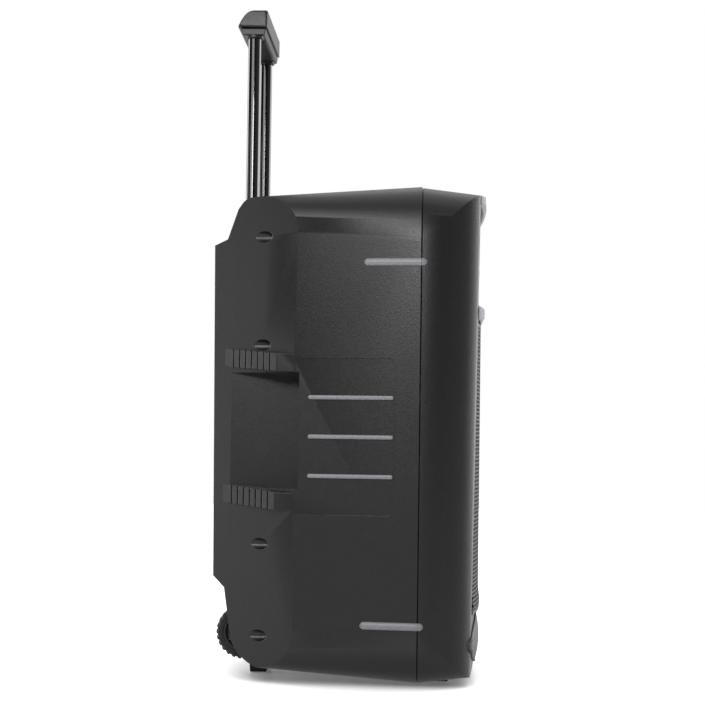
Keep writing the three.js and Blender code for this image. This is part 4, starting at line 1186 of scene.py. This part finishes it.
def wheel_hub(side):
    """A moulded hub with six round windows and ribs between them."""
    x0, x1 = wheel_span(side)
    y, z = WHEEL.y, WHEEL.z
    half = [(AXLE_R + 0.1, 1), (9.6, 1), (11, 2), (12.2, 6), (13.4, 6.8)]
    half += [(22, 6.8), (23.6, 6), (25, 2.4), (26, 1.8), (28, 2)]
    hub = turned("hub", wheel_profile(half, x0, x1), "x", y, z, 96)
    cut(hub, *[rod("x", y + u, z + v, 3.9, x0 - 5, x1 + 5, 24) for u, v in ring_of(6, 17.6)])
    ribs = []
    for u, v in ring_of(6, 1, PI / 6):
        for low, high in ((x0 + 2.6, x0 + 7.5), (x1 - 7.5, x1 - 2.6)):
            across = (-v * 0.9, u * 0.9)
            outline = []
            for reach, way in ((11.6, -1), (24.6, -1), (24.6, 1), (11.6, 1)):
                outline.append((y + u * reach + way * across[0], z + v * reach + way * across[1]))
            ribs.append(soften(prism(outline, "x", low, high, "rib"), 0.4, 2))
    return fuse("hub_moulding", [hub, *ribs])


def wheel_axle():
    r, reach, chamfer = AXLE_R, 106, 0.6
    profile = [(0.01, -reach), (r - chamfer, -reach), (r, -reach + chamfer)]
    profile += [(r, reach - chamfer), (r - chamfer, reach), (0.01, reach)]
    return turned("axle_rod", profile, "x", WHEEL.y, WHEEL.z, 40)


def foot(side, x, y):
    """A tapered rubber foot with a grooved sole."""

    def under(at):
        rise = REAR_BOTTOM_DRAFT if at > SEAM_Y else FRONT_DRAFT
        return BOTTOM + abs(at - SEAM_Y) * rise - 0.3

    x, half_x, half_y, flare = side * x, 15, 12, 13.5
    outline = [(y - half_y, 0), (y + half_y, 0), (y + flare, under(y + flare))]
    outline.append((y - flare, under(y - flare)))
    pad = soften(prism(outline, "x", x - half_x, x + half_x, "foot"), 1.2)
    grooves = [rod("x", y - 7.5 + i * 5, -0.6, 1.3, x - 20, x + 20, 12) for i in range(4)]
    return cut(pad, *grooves)


def flank_screw(side, z):
    """A long case screw at the end of its hole."""
    head = -69.7
    profile = [(0.01, head - 58), (1.4, head - 57), (2, head - 54), (2, head), (5, head)]
    profile += [(5, head + 1), *dome(5, head + 1, 2.4)]
    screw = turned("screw", profile, "y", side * SCREW_X, z, 32)
    return cut(screw, *cross_slots(side * SCREW_X, z, 3, 0.7, head + 1.6, head + 6))


# ------------------------------------------------------------------ finishes
def add_node(tree, kind, settings=None, **inputs):
    made = tree.nodes.new("ShaderNode" + kind)
    for key, value in (settings or {}).items():
        setattr(made, key, value)
    for key, value in inputs.items():
        plug(tree, made.inputs[key.replace("_", " ")], value)
    return made


def plug(tree, socket, value):
    if isinstance(value, bpy.types.NodeSocket):
        tree.links.new(value, socket)
    else:
        socket.default_value = value


def sums(tree, operation, *values):
    made = tree.nodes.new("ShaderNodeMath")
    made.operation = operation
    for socket, value in zip(made.inputs, values):
        plug(tree, socket, value)
    return made.outputs[0]


def times(tree, *values):
    return sums(tree, "MULTIPLY", *values)


def plus(tree, *values):
    return sums(tree, "ADD", *values)


def blend_colour(tree, share, low, high, mode="MIX"):
    made = tree.nodes.new("ShaderNodeMix")
    made.data_type = "RGBA"
    made.blend_type = mode
    sockets = {socket.identifier: socket for socket in [*made.inputs, *made.outputs]}
    plug(tree, sockets["Factor_Float"], share)
    plug(tree, sockets["A_Color"], low)
    plug(tree, sockets["B_Color"], high)
    return sockets["Result_Color"]


def ramp(tree, value, low, high):
    made = tree.nodes.new("ShaderNodeMapRange")
    made.interpolation_type = "SMOOTHSTEP"
    plug(tree, made.inputs["Value"], value)
    plug(tree, made.inputs["From Min"], low)
    plug(tree, made.inputs["From Max"], high)
    return made.outputs["Result"]


def noise(tree, coords, size, detail=3):
    """Noise whose lumps are about size millimetres across."""
    made = add_node(tree, "TexNoise", None, Vector=coords, Scale=1000 / size, Detail=detail)
    return made.outputs[0]


def pebbles(tree, coords, size):
    """Rounded cells about size millimetres across, 1 on their tops and 0 in the creases."""
    made = add_node(tree, "TexVoronoi", dict(feature="SMOOTH_F1"), Vector=coords, Scale=1000 / size)
    made.inputs["Smoothness"].default_value = 0.35
    return sums(tree, "SUBTRACT", 1, made.outputs["Distance"])


def grey(level, tint=(1, 1, 1)):
    return tuple(level * t for t in tint) + (1,)


def finish(
    name, colour, roughness, metallic=0.0, grain=None, fine=(0.5, 0.008), mottle=0.2, smear=0.08,
    wear_and_highlight=0.25, worn_and_lit=(0.16, 0.16, 0.17, 1), coat=0.0, sheen=0.0, edge=0.6, brushed=None, dust=0.0, glow=0.0,
):
    """One moulded, painted, rubber or metal surface.

    Grain and fine are (size, depth) in millimetres; the grain's creases are darkened as painted shade.
    Mottle varies the colour and smear the roughness, wear lightens the edges towards worn, partly as
    abrasion and partly as a painted highlight, and dust settles on faces that look up.
    """
    material = bpy.data.materials.new(name)
    material.use_nodes = True
    tree = material.node_tree
    surface = tree.nodes["Principled BSDF"]
    coords = add_node(tree, "TexCoord").outputs["Object"]
    geometry = add_node(tree, "NewGeometry")
    rounded = add_node(tree, "Bevel", dict(samples=6), Radius=edge * MM).outputs["Normal"]
    wide = add_node(tree, "Bevel", dict(samples=6), Radius=1.3 * MM).outputs["Normal"]
    alike = add_node(tree, "VectorMath", dict(operation="DOT_PRODUCT"))
    plug(tree, alike.inputs[0], wide)
    plug(tree, alike.inputs[1], geometry.outputs["Normal"])
    corner = ramp(tree, sums(tree, "SUBTRACT", 1, alike.outputs["Value"]), 0.02, 0.3)
    broad = noise(tree, coords, 70)
    patch = noise(tree, coords, 9, 4)
    speck = noise(tree, coords, fine[0], 2)
    shade = plus(tree, 1 - mottle / 2, times(tree, broad, mottle))
    base = blend_colour(tree, 1.0, colour, shade_colour(tree, shade), "MULTIPLY")
    # painted highlight and abrasion: corners are lightened in patches towards a paler colour
    rubbed_and_lit_edge = times(tree, corner, ramp(tree, patch, 0.42, 0.68))
    base = blend_colour(tree, times(tree, rubbed_and_lit_edge, wear_and_highlight), base, worn_and_lit)
    height = times(tree, speck, fine[1])
    rough = plus(tree, roughness - smear / 2, times(tree, patch, smear))
    if grain:
        size, depth = grain
        cells = pebbles(tree, coords, size)
        lump = noise(tree, coords, size * 0.6, 2)
        relief = plus(tree, times(tree, cells, depth), times(tree, lump, depth * 0.7))
        height = plus(tree, height, relief)
        crease_painted_dark = ramp(tree, cells, 0.75, 0.3)
        # painted shade: the colour is darkened in the grain's creases
        base = blend_colour(tree, times(tree, crease_painted_dark, 0.35), base, grey(0.004))
        rough = plus(tree, rough, times(tree, crease_painted_dark, 0.06))
    if brushed:
        stretch = add_node(tree, "Mapping", None, Vector=coords)
        stretch.inputs["Scale"].default_value = brushed
        lines = noise(tree, stretch.outputs["Vector"], 0.6, 3)
        height = plus(tree, height, times(tree, lines, 0.03))
        rough = plus(tree, rough, times(tree, lines, 0.16))
    if dust:
        up = add_node(tree, "SeparateXYZ", None, Vector=geometry.outputs["Normal"]).outputs["Z"]
        settled = times(tree, ramp(tree, up, 0.5, 1), times(tree, patch, dust))
        base = blend_colour(tree, settled, base, grey(0.3, (1, 0.97, 0.92)))
    bump = add_node(tree, "Bump", None, Strength=1.0, Distance=MM, Height=height, Normal=rounded)
    inputs = {"Base Color": base, "Roughness": rough, "Normal": bump.outputs["Normal"]}
    inputs |= {"Metallic": metallic, "Coat Weight": coat, "Coat Roughness": 0.06}
    inputs |= {"Sheen Weight": sheen, "Sheen Roughness": 0.5}
    if glow:
        inputs |= {"Emission Color": colour, "Emission Strength": glow}
    for socket, value in inputs.items():
        plug(tree, surface.inputs[socket], value)
    return material


def shade_colour(tree, value):
    made = tree.nodes.new("ShaderNodeCombineColor")
    for socket in made.inputs:
        plug(tree, socket, value)
    return made.outputs["Color"]


COOL, WARM = (0.97, 0.98, 1.06), (1, 0.99, 0.97)
LOOKS = {
    "shell": dict(colour=grey(0.013, COOL), roughness=0.31, grain=(2.6, 0.07), fine=(0.6, 0.002)),
    "trim": dict(colour=grey(0.05, COOL), roughness=0.42, grain=(0.9, 0.03)),
    # painted highlight: the rib finish is light grey all over, standing for dark ribs lit along their tops
    "rib": dict(colour=grey(0.30, COOL), roughness=0.36, grain=(0.9, 0.01), worn_and_lit=grey(0.3)),
    "silver": dict(colour=grey(0.6, COOL), roughness=0.4, fine=(0.35, 0.0036), worn_and_lit=grey(0.6)),
    "panel": dict(colour=grey(0.012, COOL), roughness=0.38, fine=(0.4, 0.006)),
    "knob": dict(colour=grey(0.014), roughness=0.45, fine=(0.35, 0.009)),
    "print": dict(colour=grey(0.55), roughness=0.6, fine=(0.3, 0.003)),
    "grille": dict(colour=grey(0.028, (0.95, 1.02, 1)), roughness=0.42, fine=(0.35, 0.015)),
    "steel_black": dict(colour=grey(0.02), roughness=0.4, fine=(0.5, 0.009)),
    "tube": dict(colour=grey(0.006), roughness=0.1, fine=(3, 0.0004), smear=0.04, edge=0.3),
    "steel": dict(colour=grey(0.42, WARM), roughness=0.3, fine=(0.5, 0.003), brushed=(1, 1, 0.04)),
    "screw": dict(colour=grey(0.24), roughness=0.34, fine=(0.3, 0.006), worn_and_lit=grey(0.5), edge=0.2),
    "alloy": dict(colour=grey(0.5), roughness=0.42, fine=(0.6, 0.006), brushed=(1, 1, 0.05)),
    "brass": dict(colour=(0.62, 0.45, 0.2, 1), roughness=0.3, fine=(0.4, 0.003)),
    "rubber": dict(colour=grey(0.012), roughness=0.82, grain=(0.7, 0.05), worn_and_lit=grey(0.06), dust=0.2),
    "tyre": dict(colour=grey(0.016, (1, 1, 1.03)), roughness=0.74, grain=(0.9, 0.05), worn_and_lit=grey(0.09)),
    "paper": dict(colour=grey(0.018), roughness=0.88, grain=(2.2, 0.1), fine=(0.4, 0.036)),
    "dome": dict(colour=grey(0.02), roughness=0.5, fine=(0.5, 0.012)),
    "window": dict(colour=grey(0.003, (0.8, 0.9, 1.2)), roughness=0.06, fine=(4, 0.0006)),
    "lit": dict(colour=(0.35, 0.75, 1.0, 1), roughness=0.3, fine=(0.4, 0.003), glow=1.6),
    "board": dict(colour=(0.01, 0.07, 0.025, 1), roughness=0.35, grain=(1.2, 0.04)),
    "parts": dict(colour=(0.05, 0.045, 0.06, 1), roughness=0.4, fine=(0.5, 0.006)),
    "battery": dict(colour=grey(0.05, (0.9, 0.95, 1.1)), roughness=0.48, fine=(0.8, 0.015)),
}
# How much each finish's corners are lightened, partly as abrasion and partly as a painted highlight
WEAR_AND_HIGHLIGHT = dict(shell=0.3, rib=0.3, silver=0.3, panel=0.2, knob=0.35, grille=0.4, steel_black=0.5)
WEAR_AND_HIGHLIGHT |= dict(tube=0.2, steel=0.2, screw=0.5, rubber=0.2, tyre=0.5, paper=0.1, window=0.1, lit=0.0)
WEAR_AND_HIGHLIGHT |= dict(board=0.2, parts=0.3, print=0.1)
MOTTLE = dict(shell=0.22, print=0.15, tube=0.3, window=0.1, battery=0.3)
METALLIC = dict(grille=0.35, steel_black=0.5, steel=1.0, screw=1.0, alloy=1.0, brass=1.0)
COAT = dict(tube=0.6, dome=0.2, window=1.0, board=0.4)
SHEEN = dict(rubber=0.25, tyre=0.2, paper=0.3, dome=0.2)
SHARED = dict(wear_and_highlight=WEAR_AND_HIGHLIGHT, mottle=MOTTLE, metallic=METALLIC, coat=COAT, sheen=SHEEN)
made_looks = {}


def look(kind):
    if kind not in made_looks:
        shared = {key: levels[kind] for key, levels in SHARED.items() if kind in levels}
        made_looks[kind] = finish(kind, **LOOKS[kind], **shared)
    return made_looks[kind]


def dress(obj, name, kind, body, *nodes, angle=30):
    """Names a piece, gives it a finish and the body it rides on, and hides the nodes it stands for."""
    obj.name = name
    obj.data.materials.clear()
    obj.data.materials.append(look(kind))
    for face in obj.data.polygons:
        face.material_index = 0
    smooth(obj, angle)
    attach(obj, body)
    if nodes:
        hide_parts(*nodes)
    return obj


# ------------------------------------------------------------------ building the object
def build_cabinet():
    dress(rear_shell(), "rear_moulding", "shell", "cabinet", "rear_housing")
    dress(front_shell(), "front_moulding", "shell", "cabinet", "front_housing")
    dress(lower_trim(), "lower_trim_plate", "trim", "cabinet", "lower_trim")
    lip, ledge = lip_and_ledge()
    dress(lip, "control_lip", "silver", "cabinet")
    dress(ledge, "grille_ledge", "silver", "cabinet")
    dress(panel_gasket(), "panel_gasket", "panel", "cabinet")
    for tag, side in SIDES:
        # the bars take the rib finish, whose light grey is a painted highlight
        for end, bars in zip(("rear", "front"), rub_bars(side)):
            for i, bar in enumerate(bars):
                dress(bar, f"rub_bar_{end}_{tag}_{i + 1}", "rib", "cabinet", angle=60)
        for i, z in enumerate(PANEL_RIB_Z):
            bar = wall_bar(side, z, 6, -66, 55, 1.8)
            dress(bar, f"panel_rib_{tag}_{i + 1}", "rib", "cabinet", angle=60)
    dress(grille(), "grille_mesh", "grille", "cabinet", "grille", angle=40)
    dress(woofer_frame(), "woofer_basket", "steel_black", "cabinet", "woofer_frame")
    dress(woofer_surround(), "woofer_roll", "rubber", "cabinet", "woofer_surround", angle=60)
    dress(woofer_cone(), "woofer_paper", "paper", "cone_assembly", "woofer_cone", angle=40)
    dress(dust_cap(), "dust_dome", "dome", "cone_assembly", "dust_cap")
    dress(woofer_magnet(), "magnet_stack", "steel_black", "cabinet", "woofer_magnet")
    dress(horn(), "horn_flare", "panel", "cabinet", "horn")
    dress(horn_driver(), "compression_driver", "steel_black", "cabinet", "horn_driver")
    for tag, side in SIDES:
        dress(port_tube(side), f"port_sleeve_{tag}", "panel", "cabinet", f"port_tube_{tag}")
        for i, z in enumerate(SCREW_Z):
            place = f"{tag}_{i + 1}"
            screw = flank_screw(side, z)
            dress(screw, f"case_screw_{place}", "screw", "cabinet", f"flank_screw_{place}")
        for end, x, y in (("front", 95, -135), ("rear", 32, 133)):
            place = f"{end}_{tag}"
            dress(foot(side, x, y), f"rubber_foot_{place}", "rubber", "cabinet", f"foot_{place}")


def build_controls():
    dress(control_panel(), "panel_plate", "panel", "cabinet", "control_panel")
    dress(dial_ticks(), "dial_ticks", "print", "cabinet")
    half = (DISPLAY.half_x, DISPLAY.half_z)
    glass = soften(slab(0, DISPLAY.z, *half, 2, PANEL_Y - 0.7, PANEL_Y + 1.2), 0.3, 2)
    dress(glass, "display_glass", "window", "cabinet", "display_window")
    dress(display_digits(), "display_digits", "lit", "cabinet")
    for name, (x, radius) in KNOBS.items():
        dress(knob(x, radius), f"dial_cap_{name}", "knob", f"dial_{name}", f"knob_{name}")
        dress(knob_pointer(x, radius), f"dial_pointer_{name}", "print", f"dial_{name}")
    for i, name in enumerate(BUTTONS):
        dress(push_button(i), f"key_cap_{name}", "knob", f"key_{name}", f"button_{name}")
        dress(button_icon(i), f"key_icon_{name}", "print", f"key_{name}")
    for name, x in JACKS.items():
        dress(jack_socket(x), f"jack_bush_{name}", "steel", "cabinet", f"jack_{name}")
    keep_node("usb_port", "steel", 0.3)


def keep_node(node, kind, width):
    """A CAD node that stays, with eased edges and its finish."""
    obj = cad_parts[node]
    for slot in obj.material_slots:
        slot.link = "OBJECT"
        slot.material = look(kind)
    step = obj.modifiers.new("soften", "BEVEL")
    step.width = width * MM
    step.segments = 2
    step.limit_method = "ANGLE"


def build_rear_panel():
    dress(rear_panel(), "amp_plate", "steel_black", "cabinet", "rear_panel")
    body, pins = power_inlet()
    dress(body, "inlet_body", "panel", "cabinet", "power_inlet")
    dress(pins, "inlet_pins", "brass", "cabinet")
    cap, marks = power_rocker()
    dress(cap, "rocker_cap", "knob", "rocker", "power_rocker")
    dress(marks, "rocker_marks", "print", "rocker")
    dress(heat_sink(), "heat_sink_fins", "alloy", "cabinet", "heat_sink")
    board, parts = amplifier_board()
    dress(board, "amp_board", "board", "cabinet", "amplifier_board")
    dress(parts, "amp_board_parts", "parts", "cabinet")
    case, tags = battery()
    dress(case, "battery_case", "battery", "cabinet", "battery")
    dress(tags, "battery_tags", "brass", "cabinet")


def build_trolley():
    dress(grip_shell(), "grip_cover", "shell", "trolley_handle", "grip_shell")
    dress(grip_tray(), "grip_base", "panel", "trolley_handle", "grip_tray")
    dress(release_key(), "release_cap", "knob", "release_key", "release_button")
    for tag, side in SIDES:
        dress(trolley_tube(side), f"handle_tube_{tag}", "tube", "trolley_handle", f"trolley_tube_{tag}")
        dress(trolley_sleeve(side), f"guide_sleeve_{tag}", "steel_black", "cabinet", f"trolley_sleeve_{tag}")
        dress(tube_collar(side), f"guide_collar_{tag}", "panel", "cabinet", f"tube_collar_{tag}")
        dress(tyre(side), f"tyre_tread_{tag}", "tyre", f"wheel_{tag}", f"tyre_{tag}")
        dress(wheel_hub(side), f"hub_moulding_{tag}", "knob", f"wheel_{tag}", f"wheel_hub_{tag}")
    dress(wheel_axle(), "axle_rod", "steel", "cabinet", "wheel_axle")


# ------------------------------------------------------------------ camera, floor and light
def add_camera():
    across = math.cos(CAMERA_PITCH)
    ahead = Vector((across * math.cos(CAMERA_YAW), across * math.sin(CAMERA_YAW), math.sin(CAMERA_PITCH)))
    level = ahead.cross(Vector((0, 0, 1))).normalized()
    upright = level.cross(ahead)
    right = level * math.cos(CAMERA_ROLL) + upright * math.sin(CAMERA_ROLL)
    up = right.cross(ahead)
    data = bpy.data.cameras.new("camera")
    data.lens = CAMERA_LENS
    data.clip_end = 20
    camera = link("camera", data)
    turn = Matrix((right, up, -ahead)).transposed()
    camera.matrix_world = Matrix.Translation(Vector(CAMERA_AT) * MM) @ turn.to_4x4()
    scene.camera = camera


def add_floor():
    """A pale floor that stays white up to a painted soft shadow where the object stands."""
    size, z = 6000, -0.6
    corners = [(-size, -size, z), (size, -size, z), (size, size, z), (-size, size, z)]
    floor = mesh_object("floor", corners, [(0, 1, 2, 3)])
    material = bpy.data.materials.new("floor")
    material.use_nodes = True
    tree = material.node_tree
    surface = tree.nodes["Principled BSDF"]
    seen = add_node(tree, "LightPath").outputs["Is Camera Ray"]
    unseen = sums(tree, "SUBTRACT", 1, seen)
    # painted shadow: the glow seen by the camera dims with ambient occlusion near the object
    open_sky = add_node(tree, "AmbientOcclusion", dict(samples=8), Distance=0.2).outputs["AO"]
    pale = plus(tree, 0.12, times(tree, ramp(tree, open_sky, 0.1, 0.9), 0.9))
    glow = plus(tree, times(tree, seen, pale), times(tree, unseen, 0.25))
    surface.inputs["Base Color"].default_value = grey(0.5)
    surface.inputs["Roughness"].default_value = 0.3
    surface.inputs["Emission Color"].default_value = grey(1)
    plug(tree, surface.inputs["Emission Strength"], glow)
    floor.data.materials.append(material)


def add_world():
    """A studio, plain white to the camera, that lights the object from above, ahead and beyond it."""
    world = bpy.data.worlds.new("studio")
    scene.world = world
    world.use_nodes = True
    tree = world.node_tree
    background = tree.nodes["Background"]
    way = add_node(tree, "SeparateXYZ", None, Vector=add_node(tree, "TexCoord").outputs["Generated"])
    above = ramp(tree, way.outputs["Z"], 0.1, 1.0)
    ahead = ramp(tree, times(tree, way.outputs["Y"], -1), 0.3, 1.0)
    beyond = ramp(tree, way.outputs["X"], -0.1, 0.6)
    level = times(tree, above, 0.34)
    level = plus(tree, level, times(tree, ahead, 0.26))
    level = plus(tree, level, times(tree, beyond, 0.78))
    seen = add_node(tree, "LightPath").outputs["Is Camera Ray"]
    lit = blend_colour(tree, seen, shade_colour(tree, level), (1, 1, 1, 1))
    plug(tree, background.inputs["Color"], lit)


def area_light(name, at, target, size, power):
    data = bpy.data.lights.new(name, "AREA")
    data.shape = "RECTANGLE"
    data.size, data.size_y = (value * MM for value in size)
    data.energy = power
    lamp = link(name, data)
    aim = (Vector(target) - Vector(at)).to_track_quat("-Z", "Y")
    lamp.location = Vector(at) * MM
    lamp.rotation_euler = aim.to_euler()


def add_lights():
    middle = (0, 0, MID_Z)
    area_light("overhead", (300, 0, 2500), middle, (2200, 2200), 10)
    area_light("front_soft", (1500, -2200, 800), (0, -150, MID_Z), (1600, 1800), 27)
    area_light("wall_key", (-2000, 150, 1050), (-205, 0, 500), (400, 300), 8.5)
    area_light("camera_soft", (-2100, 900, 1650), (0, 0, 500), (1600, 1500), 28)
    area_light("rear_edge", (-600, 2500, 600), middle, (800, 1200), 4)
    area_light("rear_soft", (900, 2500, 900), middle, (1200, 1600), 29)


build_cabinet()
build_controls()
build_rear_panel()
build_trolley()
add_floor()
add_world()
add_lights()
add_camera()
scene.view_settings.view_transform = "Standard"
